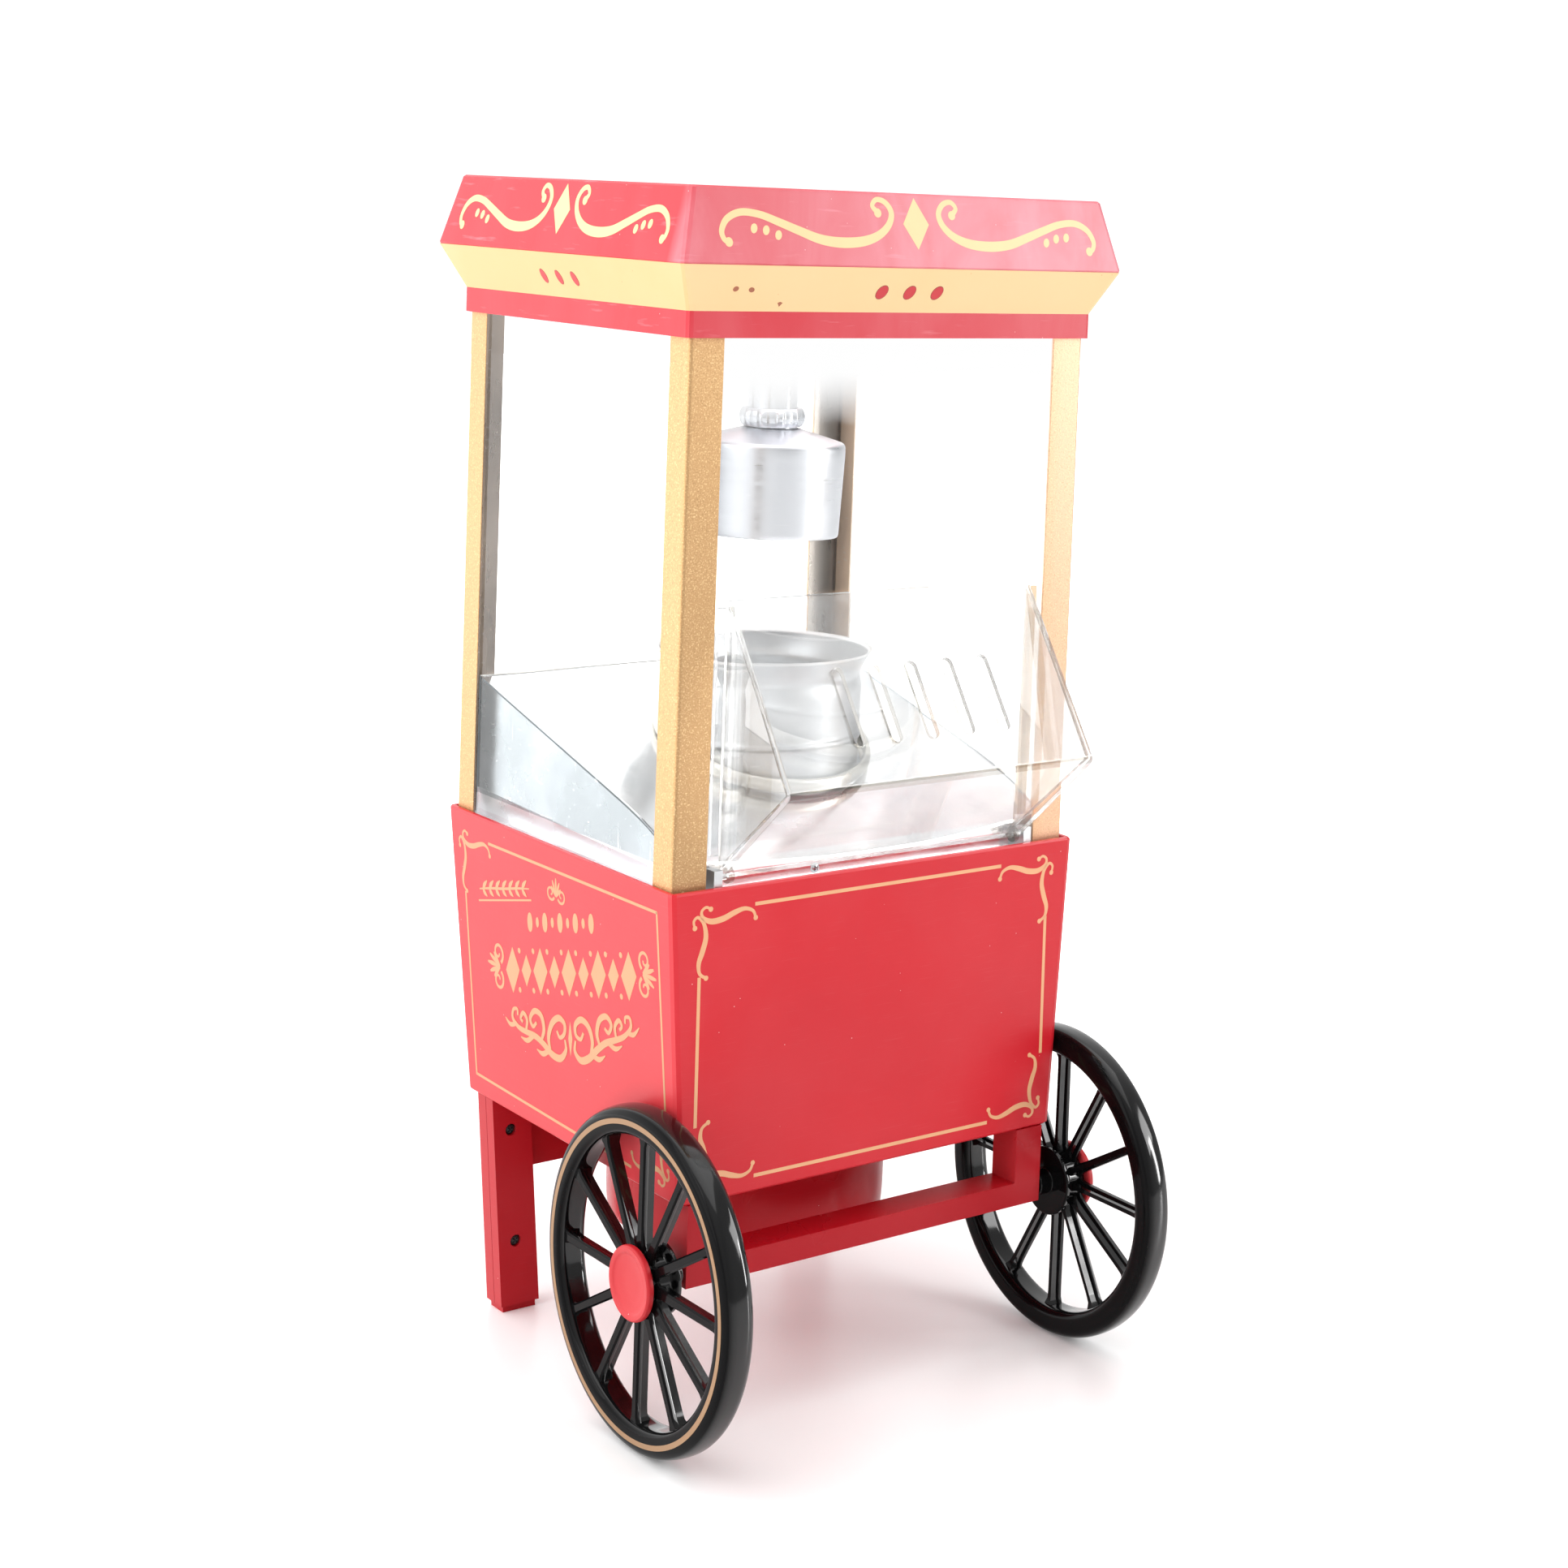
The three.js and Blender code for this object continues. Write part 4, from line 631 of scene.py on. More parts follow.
def tube(points, radius, name, sides=8):
    """A round cord along smooth points, as a mesh in the frame's metres."""
    data = bpy.data.curves.new(name, "CURVE")
    data.dimensions = "3D"
    data.bevel_depth = radius * MM
    data.bevel_resolution = sides // 2
    data.use_fill_caps = True
    data.resolution_u = 10
    spline = data.splines.new("NURBS")
    spline.points.add(len(points) - 1)
    for target, point in zip(spline.points, points):
        target.co = (*at(*point), 1)
    spline.use_endpoint_u = True
    spline.order_u = 4
    holder = bpy.data.objects.new(name, data)
    bpy.context.scene.collection.objects.link(holder)
    bpy.context.view_layer.update()
    graph = bpy.context.evaluated_depsgraph_get()
    mesh = bpy.data.meshes.new_from_object(holder.evaluated_get(graph))
    bpy.data.objects.remove(holder)
    return mesh


# ------------------------------------------------------------------ CAD nodes that stay


def shading_group():
    """Geometry nodes that shade a CAD mesh smooth except across its sharp edges."""
    group = bpy.data.node_groups.new("shade_by_angle", "GeometryNodeTree")
    group.interface.new_socket("Geometry", in_out="INPUT", socket_type="NodeSocketGeometry")
    group.interface.new_socket("Geometry", in_out="OUTPUT", socket_type="NodeSocketGeometry")
    start = group.nodes.new("NodeGroupInput")
    end = group.nodes.new("NodeGroupOutput")
    faces = group.nodes.new("GeometryNodeSetShadeSmooth")
    edges = group.nodes.new("GeometryNodeSetShadeSmooth")
    edges.domain = "EDGE"
    angle = group.nodes.new("GeometryNodeInputMeshEdgeAngle")
    gentle = group.nodes.new("FunctionNodeCompare")
    gentle.operation = "LESS_THAN"
    gentle.inputs["B"].default_value = math.radians(32)
    group.links.new(angle.outputs["Unsigned Angle"], gentle.inputs["A"])
    group.links.new(gentle.outputs[0], edges.inputs["Shade Smooth"])
    group.links.new(start.outputs[0], faces.inputs[0])
    group.links.new(faces.outputs[0], edges.inputs[0])
    group.links.new(edges.outputs[0], end.inputs[0])
    return group


SHADE_BY_ANGLE = shading_group()


def keep(names, material, bevel_mm=0.0):
    """CAD nodes whose shape is right: eased edges, smooth shading and their own material."""
    for name in names:
        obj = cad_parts[name]
        obj.data.materials.clear()
        obj.data.materials.append(material)
        if bevel_mm:
            clean = obj.modifiers.new("clean", "DECIMATE")
            clean.decimate_type = "DISSOLVE"
            clean.angle_limit = math.radians(0.6)
            ease = obj.modifiers.new("ease", "BEVEL")
            ease.width = bevel_mm * MM
            ease.segments = 3
            ease.limit_method = "ANGLE"
            ease.angle_limit = math.radians(32)
            ease.use_clamp_overlap = True
        shade = obj.modifiers.new("shade", "NODES")
        shade.node_group = SHADE_BY_ANGLE
        level_normals(obj)


keep(["tub"], RED_TUB, 0.5)
keep(["tub_deck"], TRAY_SIDE, 0.15)
keep(["canopy_roof"], RED_ROOF, 1.0)
keep(["canopy_collar"], RED_ROOF, 0.3)
keep(["canopy_band"], CREAM, 0.25)
keep(["canopy_ceiling"], CEILING_METAL, 0.2)
keep(["front_frame", "rear_frame"], RED_LEG, 0.45)
keep(["leg_cover_left", "leg_cover_right"], RED_LEG, 0.45)
keep(["foot_left", "foot_right"], RED_LEG, 0.4)
keep(["pane_left", "pane_right", "pane_rear"], PANE, 0.15)
keep(["pane_front"], FRONT_PANE, 0.15)
keep(["door_hinge_left", "door_hinge_right", "axle"], STEEL, 0.2)
keep(["motor", "motor_bracket", "neck_flange"], STEEL, 0.2)
keep(["feed_chute", "chamber"], TRAY_SIDE, 0.15)
keep(["switch_bezel", "strain_relief", "power_plug"], BLACK_MATTE, 0.3)
keep(["switch_rocker"], RED_CUP, 0.3)
keep(["air_box", "fan"], BLACK_MATTE, 0.2)
keep(["heater_coil"], COPPER)
keep(["heater_cards"], MICA, 0.1)

# ------------------------------------------------------------------ corner angles


def angle_outline():
    """One corner angle in plan, outer corner at the cabinet's corner, with the bend rounded."""
    wall = 1.2
    wide, side = 16.0, 14.3
    x, y = CABINET_X, CABINET_Y
    corners = [(x - wide, y), (x, y), (x, y - side), (x - wall, y - side), (x - wall, y - wall), (x - wide, y - wall)]
    radii = [0.3, 1.7, 0.3, 0.3, 0.6, 0.3]
    out = []
    for i, point in enumerate(corners):
        trio = [corners[i - 1], point, corners[(i + 1) % len(corners)]]
        out += softened(trio, radii[i], 5, closed=False)[1:-1]
    return out


def build_posts():
    outline = angle_outline()
    for side_x, name_x in ((-1, "left"), (1, "right")):
        for side_y, name_y in ((-1, "front"), (1, "rear")):
            own = [(x * side_x, y * side_y) for x, y in outline]
            verts, faces = prism(own, DECK_TOP, POST_TOP, lambda a, b, h: (a, b, h))

            def inward(normal, centre, side_x=side_x, side_y=side_y):
                deep = abs(centre.x) < (CABINET_X - 0.6) * MM and abs(centre.y - AXIS_Y) < (CABINET_Y - 0.6) * MM
                if deep and normal.x * side_x < -0.5:
                    return 2
                return 1 if deep and normal.y * side_y < -0.5 else 0

            node = f"post_{name_y}_{name_x}"
            piece("angle_" + node[5:], verts, faces, [BRONZE, BARE_ANGLE, WARM_ANGLE], "cart", "bronze_metal", [node], pick=inward)


build_posts()

# ------------------------------------------------------------------ door


def round_ended(length, width, steps=24):
    half = width / 2
    run = length / 2 - half
    out = []
    for end in (1, -1):
        for i in range(steps + 1):
            angle = math.pi * i / steps + (0 if end > 0 else math.pi)
            out.append((half * math.cos(angle), end * run + half * math.sin(angle)))
    return out


def bent_plate(mesh, fold, low, ridge, high):
    """A flat plate in XY bent at y = fold so that it runs low to ridge to high, each (y, z) in the cabinet."""
    bend = 1.6
    cuts = 6
    bm = bmesh.new()
    bm.from_mesh(mesh)
    bmesh.ops.remove_doubles(bm, verts=bm.verts, dist=1e-7)
    for k in range(cuts + 1):
        y = (fold - bend + 2 * bend * k / cuts) * MM
        everything = bm.verts[:] + bm.edges[:] + bm.faces[:]
        bmesh.ops.bisect_plane(bm, geom=everything, plane_co=(0, y, 0), plane_no=(0, 1, 0), dist=1e-9)
    start = math.atan2(ridge[1] - low[1], ridge[0] - low[0])
    turn = math.atan2(high[1] - ridge[1], high[0] - ridge[0]) - start
    curve = 2 * bend / turn
    inset = abs(curve * math.tan(turn / 2)) - bend
    for vert in bm.verts:
        x, y, h = vert.co / MM
        along = y - (fold - bend)
        share = min(1.0, max(0.0, along / (2 * bend)))
        angle = start + turn * share
        before = fold - bend - inset + min(0.0, along)
        here = Vector((low[0], low[1])) + Vector((math.cos(start), math.sin(start))) * before
        here += Vector((math.sin(angle) - math.sin(start), math.cos(start) - math.cos(angle))) * curve
        here += Vector((math.cos(angle), math.sin(angle))) * max(0.0, along - 2 * bend)
        here += Vector((-math.sin(angle), math.cos(angle))) * -h
        vert.co = at(x, here.x, here.y)
    out = bpy.data.meshes.new("bent")
    bm.to_mesh(out)
    bm.free()
    return out


def circle(steps):
    return [2 * math.pi * i / steps for i in range(steps)]


def side_plate(outlines, thickness, x):
    """Plate standing across the cart, from outlines in (y, z)."""
    mesh = curve_plate(outlines, thickness, 0.25)
    turn = Matrix(((0, 0, 1), (1, 0, 0), (0, 1, 0))).to_4x4()
    turn.translation = Vector((x * MM, AXIS_Y, 0))
    mesh.transform(turn)
    return mesh


def build_door():
    """One clear sheet bent at the ridge, with five vents above the bend, and a clear cheek at each side."""
    hinge, ridge, top = (-88.0, 226.4), (-134.0, 267.2), (-86.0, 336.2)
    half_x, sheet = 76.5, 2.2
    vent_pitch, vent_low, vent_high, vent_width = 18.4, 281.0, 309.0, 5.0
    lower = math.hypot(ridge[0] - hinge[0], ridge[1] - hinge[1])
    upper = math.hypot(top[0] - ridge[0], top[1] - ridge[1])
    rise = upper / (top[1] - ridge[1])
    middle = lower + ((vent_low + vent_high) / 2 - ridge[1]) * rise
    run = (vent_high - vent_low) * rise
    ends = [(-half_x, 0), (half_x, 0), (half_x, lower + upper), (-half_x, lower + upper)]
    outlines = [softened(ends, 0.6)]
    for i in range(5):
        outlines.append([((i - 2) * vent_pitch + u, middle + v) for u, v in round_ended(run, vent_width)])
    front = bent_plate(curve_plate(outlines, sheet, 0.25), lower, hinge, ridge, top)
    meshes = [front]

    corners = [(hinge[0] + 2.2, hinge[1] + 2.4), (ridge[0] + 2.4, ridge[1]), (top[0] - 1.2, top[1] - 1.6)]
    cheek = softened(corners, 0.5)
    lug = [(hinge[0] + 3.4 * math.cos(a), hinge[1] + 3.4 * math.sin(a)) for a in circle(24)]
    eye = [(hinge[0] + 1.7 * math.cos(a), hinge[1] + 1.7 * math.sin(a)) for a in circle(16)]
    low, high = (top[0] - 1.4, hinge[1] + 8), (top[0] + 0.8, top[1] - 2.2)
    flange = softened([low, (high[0], low[1]), high, (low[0], high[1])], 0.4)
    for side in (-1, 1):
        meshes.append(side_plate([cheek], sheet, side * (half_x - sheet / 2)))
        meshes.append(side_plate([lug, eye], sheet, side * (half_x - sheet * 1.6)))
    meshes.append(side_plate([flange], 4.6, -half_x - 2.5))
    ways = [Vector((0, b[1] - a[1], a[0] - b[0])).normalized() for a, b in ((hinge, ridge), (ridge, top))]

    def cut(normal, centre):
        cheek_face = abs(normal.x) > 0.9 and abs(centre.x) > (half_x - sheet - 0.2) * MM
        if cheek_face or abs(centre.x) > (half_x + 0.2) * MM:
            return 0
        return 0 if max(abs(normal.dot(way)) for way in ways) > 0.97 else 1

    clear = [DOOR_CLEAR, CUT_EDGE]
    from_mesh("door_clear", merged("door_clear", meshes), clear, "door", "clear_acrylic", ["door"], 10, cut)
    right_edge = side_plate([flange], 4.6, half_x + 2.5)
    from_mesh("door_edge_right", right_edge, [EDGE_SMOKE], "door", "clear_acrylic", angle=10)


build_door()

# ------------------------------------------------------------------ hood, pot, tray


def build_hood():
    bottom, edge, top, shoulder, mouth, neck = 350.0, 391.0, 396.6, 32.6, 31.4, 11.3
    wall = 0.9
    outside = [(mouth, bottom), (shoulder, edge - 5), (shoulder - 0.2, edge - 0.6), (shoulder - 3.0, edge + 0.4), (neck, top)]
    inside = [(neck, top - 1), (shoulder - 3.6, edge - 1), (shoulder - wall, edge - 5), (mouth - wall, bottom)]
    profile = softened(outside + inside, 2.4, 6)
    verts, faces = revolve(profile, 128, upright)
    lean = Euler((math.radians(-0.4), math.radians(1.6), 0)).to_matrix()
    pivot = Vector((0, 0, top))
    verts = [tuple(lean @ (Vector(v) - pivot) + pivot) for v in verts]
    piece("hood_bell", verts, faces, [HOOD_METAL], "cart", "aluminium_sheet", ["hood"])

    tube_r = 10.9
    foot_top = top - 2.2
    tube_profile = softened(walled([(tube_r, foot_top - 3), (tube_r, COLLAR_TOP + 8)], 1.0), 0.3, 2)
    foot = [(tube_r - 0.4, foot_top - 2.2), (tube_r + 3, foot_top - 2.2), (tube_r + 3, foot_top), (tube_r - 0.4, foot_top)]
    foot = softened(foot, 0.5, 3)
    parts = joined(revolve(tube_profile, 96, upright), revolve(foot, 96, upright))
    piece("hood_tube", *parts, [NECK_METAL], "cart", "aluminium_sheet", ["hood_neck"])

    def fluted(radius, angle, height):
        lobes = 10
        deep = max(0.0, math.cos(angle * lobes))
        rise = math.sin(math.pi * min(1.0, max(0.0, (height - (top + 0.4)) / 8)))
        reach = radius + (1.0 * deep * (0.25 + 0.75 * rise) if radius > tube_r + 1 else 0)
        return upright(reach, angle, height)

    levels = [0.0, 0.8, 2.0, 3.5, 5.0, 6.5, 7.4, 8.0]
    outer = [(tube_r + 1.6 + 0.9 * math.sin(math.pi * h / 8) ** 0.5, top + 0.4 + h) for h in levels]
    inner = [(tube_r + 0.3, top + 8.4), (tube_r + 0.3, top + 0.4)]
    verts, faces = revolve(outer + inner, 160, fluted)
    piece("hood_clamp", verts, faces, [NECK_METAL], "cart", "aluminium_sheet", ["hood_collar"])


def build_pot():
    body, rim = 42.6, 47.4
    outside = [
        (body - 2.2, 233.0),
        (body - 0.6, 236.0),
        (body - 0.2, 261.2),
        (body + 0.9, 262.4),
        (body + 0.9, 263.6),
        (body - 0.1, 264.8),
        (body, 284.0),
        (body - 1.0, 289.0),
        (body + 0.6, 293.4),
        (rim - 1.0, 299.2),
        (rim, 300.0),
    ]
    profile = softened(walled(outside, 1.1), 1.6, 5)
    verts, faces = revolve(profile, 144, upright)
    piece("kettle", verts, faces, [POT_METAL], "cart", "aluminium_sheet", ["pot"])


def tray_height(x, y):
    """Height of the tray's upper face: a ramp that bends near the front and sags there between its sides."""
    ramp = mix(TRAY_BEND[1], TRAY_REAR[1], (y - TRAY_BEND[0]) / (TRAY_REAR[0] - TRAY_BEND[0]))
    lip = mix(TRAY_LIP[1], TRAY_BEND[1], (y - TRAY_LIP[0]) / (TRAY_BEND[0] - TRAY_LIP[0]))
    ease = 2.0
    straight = -math.log(math.exp(-ramp / ease) + math.exp(-lip / ease)) * ease if ramp < 300 else ramp
    forward = min(1.0, max(0.0, (TRAY_SAG_START - y) / (TRAY_SAG_START - TRAY_SAG_FULL)))
    across = 1 - (x / TRAY_X) ** 2
    ripple = 0.35 * noise.noise(Vector((x / 38, y / 30, 3.1))) * min(1.0, across * 3)
    return straight - TRAY_SAG * forward * forward * (3 - 2 * forward) * across + ripple


def tray_sheet():
    """Upper sheet as rings that blend from the round bore to the rectangular outline."""
    around, rings, wall = 144, 16, 0.8
    half_x, front, rear = TRAY_X, TRAY_LIP[0], TRAY_REAR[0]
    verts, faces = [], []
    for layer in (0, 1):
        for ring in range(rings + 1):
            share = (ring / rings) ** 1.25
            for i in range(around):
                angle = 2 * math.pi * i / around
                c, s = math.cos(angle), math.sin(angle)
                limit_y = rear if s > 0 else -front
                reach = min(half_x / max(abs(c), 1e-6), limit_y / max(abs(s), 1e-6))
                r = mix(BORE_R, reach, share)
                x, y = r * c, r * s
                verts.append((x, y, tray_height(x, y) - layer * wall))
    layer_size = (rings + 1) * around

    def index(layer, ring, i):
        return layer * layer_size + ring * around + i % around

    for ring in range(rings):
        for i in range(around):
            faces.append((index(0, ring, i), index(0, ring + 1, i), index(0, ring + 1, i + 1), index(0, ring, i + 1)))
            faces.append((index(1, ring, i), index(1, ring, i + 1), index(1, ring + 1, i + 1), index(1, ring + 1, i)))
    for i in range(around):
        faces.append((index(0, 0, i), index(0, 0, i + 1), index(1, 0, i + 1), index(1, 0, i)))
        faces.append((index(0, rings, i), index(1, rings, i), index(1, rings, i + 1), index(0, rings, i + 1)))
    return verts, faces


def bent_strip(rows, wall, push):
    """Sheet through rows of points; push gives the direction of its thickness."""
    count = len(rows[0])
    verts = [p for row in rows for p in row]
    verts += [tuple(Vector(p) + Vector(push) * wall) for row in rows for p in row]
    half = len(rows) * count
    faces = []
    for j in range(len(rows) - 1):
        for i in range(count - 1):
            a, b, c, d = j * count + i, j * count + i + 1, (j + 1) * count + i + 1, (j + 1) * count + i
            faces += [(a, b, c, d), (half + a, half + d, half + c, half + b)]
    for i in range(count - 1):
        last = (len(rows) - 1) * count
        faces += [(i, half + i, half + i + 1, i + 1), (last + i, last + i + 1, half + last + i + 1, half + last + i)]
    for j in range(len(rows) - 1):
        a, b = j * count, (j + 1) * count
        faces += [(a, b, half + b, half + a), (a + count - 1, half + a + count - 1, half + b + count - 1, b + count - 1)]
    return verts, faces


def upright_side(normal, centre):
    return 1 if abs(normal.x) > 0.7 else 0


def build_tray():
    steps = 40
    ys = [mix(TRAY_LIP[0], TRAY_REAR[0], i / steps) for i in range(steps + 1)]
    sides = []
    for side in (-1, 1):
        x = side * TRAY_X
        top = [(x, y, tray_height(x, y) + 0.3) for y in ys]
        crease = [(x, y, mix(227, 232, i / steps)) for i, y in enumerate(ys)]
        fold = [(x - side * 0.5, y, mix(227, 232, i / steps) - 0.8) for i, y in enumerate(ys)]
        foot = [(x - side * 2.4, y, DECK_TOP) for y in ys]
        sides.append(bent_strip([top, crease, fold, foot], 0.8, (-side, 0, 0)))
    xs = [mix(-TRAY_X, TRAY_X, i / steps) for i in range(steps + 1)]
    lip = [(x, TRAY_LIP[0], tray_height(x, TRAY_LIP[0]) + 0.25) for x in xs]
    roll = [(x, TRAY_LIP[0] - 0.55, tray_height(x, TRAY_LIP[0]) - 0.7) for x in xs]
    hem = [(x, TRAY_LIP[0] - 0.6, tray_height(x, TRAY_LIP[0]) - 2.2) for x in xs]
    foot = [(x, TRAY_LIP[0] - 0.3, DECK_TOP) for x in xs]
    front = bent_strip([lip, roll, hem, foot], 0.8, (0, 1, 0))
    back_top = [(x, TRAY_REAR[0], tray_height(x, TRAY_REAR[0]) + 0.3) for x in xs]
    back_foot = [(x, TRAY_REAR[0], DECK_TOP) for x in xs]
    rear = bent_strip([back_top, back_foot], 0.8, (0, -1, 0))
    verts, faces = joined(tray_sheet(), *sides, front, rear)
    piece("tray_metalwork", verts, faces, [TRAY_METAL, TRAY_SIDE], "cart", "aluminium_sheet", ["tray"], angle=25, pick=upright_side)

    reach = BORE_R + 2.4
    slope = math.atan2(tray_height(0, reach) - tray_height(0, -reach), 2 * reach)
    ring = [(1.2, 1.0), (4.2, 1.0), (4.8, 3.0), (4.0, 5.8), (2.3, 7.0), (1.2, 5.8)]
    profile = softened([(BORE_R + r, h) for r, h in ring], 1.4, 4)
    verts, faces = revolve(profile, 128, upright)
    tilt = Euler((slope, 0, 0)).to_matrix()
    lift = Vector((0, 0, tray_height(reach, 0)))
    verts = [tuple(tilt @ Vector(v) + lift) for v in verts]
    piece("bore_collar", verts, faces, [COLLAR_METAL], "cart", "aluminium_sheet", ["tray_collar"])


def screw(name, centre, facing, radius, material, slot, node, slots=2):
    """Domed screw head with a cross recess cut as a sunken star."""
    segments, dome = 32, radius * 0.5
    profile = softened([(0, dome), (radius * 0.55, dome * 0.86), (radius, 0.15), (radius, -0.5), (0, -0.5)], radius * 0.25, 4)
    forward = Vector(facing).normalized()
    side = forward.orthogonal().normalized()
    other = forward.cross(side)

    def place(r, angle, height):
        sink = 0.0
        if r < radius * 0.62 and height > 0:
            arm = abs(math.sin(angle * slots))
            sink = 0.55 * radius * 0.5 if arm < 0.42 else 0.0
        p = Vector(centre) + side * (r * math.cos(angle)) + other * (r * math.sin(angle)) + forward * (height - sink)
        return tuple(p)

    verts, faces = revolve(profile, segments, place)
    piece(name, verts, faces, [material], "cart", slot, [node])


build_hood()
build_pot()
build_tray()
screw("tray_screw_head", (-27.0, TRAY_LIP[0] - 0.7, 222.6), (0, -1, 0), 2.1, STEEL, "plain_steel", "tray_screw")

for leg_side, leg_name in ((-1, "left"), (1, "right")):
    for level, height in (("upper", 81.5), ("lower", 31.5)):
        drop = TUB_BOTTOM - height
        spot = (leg_side * (85.2 - 0.055 * drop), 60.4 - 0.045 * drop + 1.5, height)
        screw(f"screw_{level}_{leg_name}", spot, (0, -1, 0), 2.4, BLACK_MATTE, "black_matte", f"leg_screw_{level}_{leg_name}")

# ------------------------------------------------------------------ drum, measuring cup, cord


def build_drum():
    r, low, top, wall = 61.0, 47.0, TUB_BOTTOM, 2.4
    outside = [(0, low), (r - 8, low), (r - 1.0, low + 3.2), (r, low + 12), (r, top)]
    inside = [(r - wall, top), (r - wall, low + 12), (r - 4, low + 5), (r - 9, low + wall), (0, low + wall)]
    profile = softened(outside, 6, 8, closed=False) + softened(inside, 4, 4, closed=False)
    verts, faces = revolve(profile, 128, upright)
    piece("drum_shell", verts, faces, [RED_LEG], "cart", "red_plastic", ["motor_drum"])


def build_cup():
    opening, depth, wall = 18.0, 22.0, 1.2
    lip, side = opening - 0.5, opening - 2.2
    seat = ROOF_TOP - 1.8
    outside = [(0, ROOF_TOP - depth), (side - 1.6, ROOF_TOP - depth), (side, ROOF_TOP - depth + 3), (side, seat), (lip, seat)]
    inside = [(lip, seat + 1.1), (side - wall, seat + 1.1), (side - wall, ROOF_TOP - depth + 3), (side - 3, ROOF_TOP - depth + 1.4), (0, ROOF_TOP - depth + 1.4)]
    profile = softened(outside + inside, 0.5, 3, closed=False)
    cup = revolve(profile, 96, upright)
    grip_line = softened([(-side + 0.6, ROOF_TOP - 12), (side - 0.6, ROOF_TOP - 12), (side - 0.6, ROOF_TOP - 2), (-side + 0.6, ROOF_TOP - 2)], 2.0, 5)
    grip = prism(grip_line, -1.1, 1.1, lambda a, b, h: (a, h, b))
    piece("scoop_cup", *joined(cup, grip), [RED_CUP], "measuring_cup", "red_plastic", ["measuring_cup"])


def build_cord():
    low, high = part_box("power_cord")
    out_y = (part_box("power_plug")[0].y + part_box("power_plug")[1].y) / 2 / MM - AXIS_Y / MM
    x, z = -40.0, 122.0
    wall_y = mix(TUB_BASE_REAR, TUB_TOP_REAR, (z - TUB_BOTTOM) / (TUB_RIM - TUB_BOTTOM))
    y = wall_y + 11.6
    line = [(x, wall_y - 12, z), (x, wall_y - 3, z), (x, wall_y + 5, z), (x + 1, y - 1, z), (x + 10, y, z - 3)]
    line += [(x + 40, y, z - 4), (x + 62, y, z - 5), (x + 80, y, z + 1), (x + 80, y, z + 15), (x + 62, y, z + 20)]
    line += [(x + 42, y, z + 18), (x + 20, y, z + 19), (x + 2, y, z + 20), (x + 2, y, z + 38), (x + 20, y, z + 39)]
    line += [(x + 44, y, z + 39), (x + 60, y, z + 39)]
    mesh = tube(line, 2.6, "mains_cord")
    from_mesh("mains_cord", mesh, [BLACK_MATTE], "cart", "black_matte", ["power_cord"], angle=60)


build_drum()
build_cup()
build_cord()

# ------------------------------------------------------------------ wheels


def wheel_parts():
    """Verts and faces of one wheel about the X axis: rim, hub with its inner flange, twelve T-section spokes."""
    out_x, in_x = WHEEL_OUT_X, WHEEL_IN_X

    def spun(r, angle, x):
        return (x, r * math.cos(angle), r * math.sin(angle))

    rim = [
        (RIM_IN_R + 1.6, out_x - 0.3),
        (RIM_IN_R + 3.4, out_x),
        (WHEEL_R - 4.0, out_x),
        (WHEEL_R - 1.1, out_x - 1.4),
        (WHEEL_R, out_x - 5.2),
        (WHEEL_R, in_x + 3.0),
        (WHEEL_R - 2.4, in_x),
        (RIM_IN_R + 2.4, in_x),
        (RIM_IN_R, in_x + 2.2),
        (RIM_IN_R, out_x - 2.4),
    ]
    hub = [
        (3.1, out_x - 1.4),
        (12.5, out_x - 1.4),
        (12.8, in_x + 3.0),
        (15.0, in_x + 1.6),
        (15.0, in_x - 0.4),
        (5.4, in_x - 0.4),
        (5.4, 91.9),
        (3.1, 91.9),
    ]
    parts = [revolve(softened(rim, 2.2, 6), 192, spun), revolve(softened(hub, 0.7, 3), 96, spun)]
    for i in range(SPOKES):
        parts.append(spoke(2 * math.pi * i / SPOKES, out_x, in_x))
    return joined(*parts)


def spoke(angle, out_x, in_x):
    """T-section blade that flares where it meets the hub and the rim."""
    rows = []
    inner, outer, count = 11.6, RIM_IN_R + 0.8, 14
    for k in range(count + 1):
        share = k / count
        r = mix(inner, outer, share)
        flare = 1.3 * (math.exp(-(r - inner) / 1.6) + math.exp(-(outer - r) / 1.4))
        rib = 2.2 - 0.3 * share + flare
        web = 0.95 + flare
        front, step, back = out_x - 2.6, out_x - 5.2, in_x + 5.1 - flare
        section = [(back, -web), (step, -web), (step + 0.3, -rib + 0.2), (step + 0.9, -rib), (front - 0.7, -rib), (front, -rib + 0.7)]
        section += [(x, -w) for x, w in reversed(section)]
        rows.append([(x, w, r) for x, w in section])
    size = len(rows[0])
    c, s = math.cos(angle), math.sin(angle)
    verts = [(x, w * c + r * s, r * c - w * s) for row in rows for x, w, r in row]
    faces = []
    for j in range(count):
        for i in range(size):
            m = (i + 1) % size
            faces.append((j * size + i, j * size + m, (j + 1) * size + m, (j + 1) * size + i))
    faces.append(tuple(range(size - 1, -1, -1)))
    faces.append(tuple(count * size + i for i in range(size)))
    return verts, faces


def ring_solid(inner, outer, low, high, segments=192):
    profile = [(inner, low), (outer, low), (outer, high), (inner, high)]
    return revolve(profile, segments, lambda r, a, x: (x, r * math.cos(a), r * math.sin(a)))


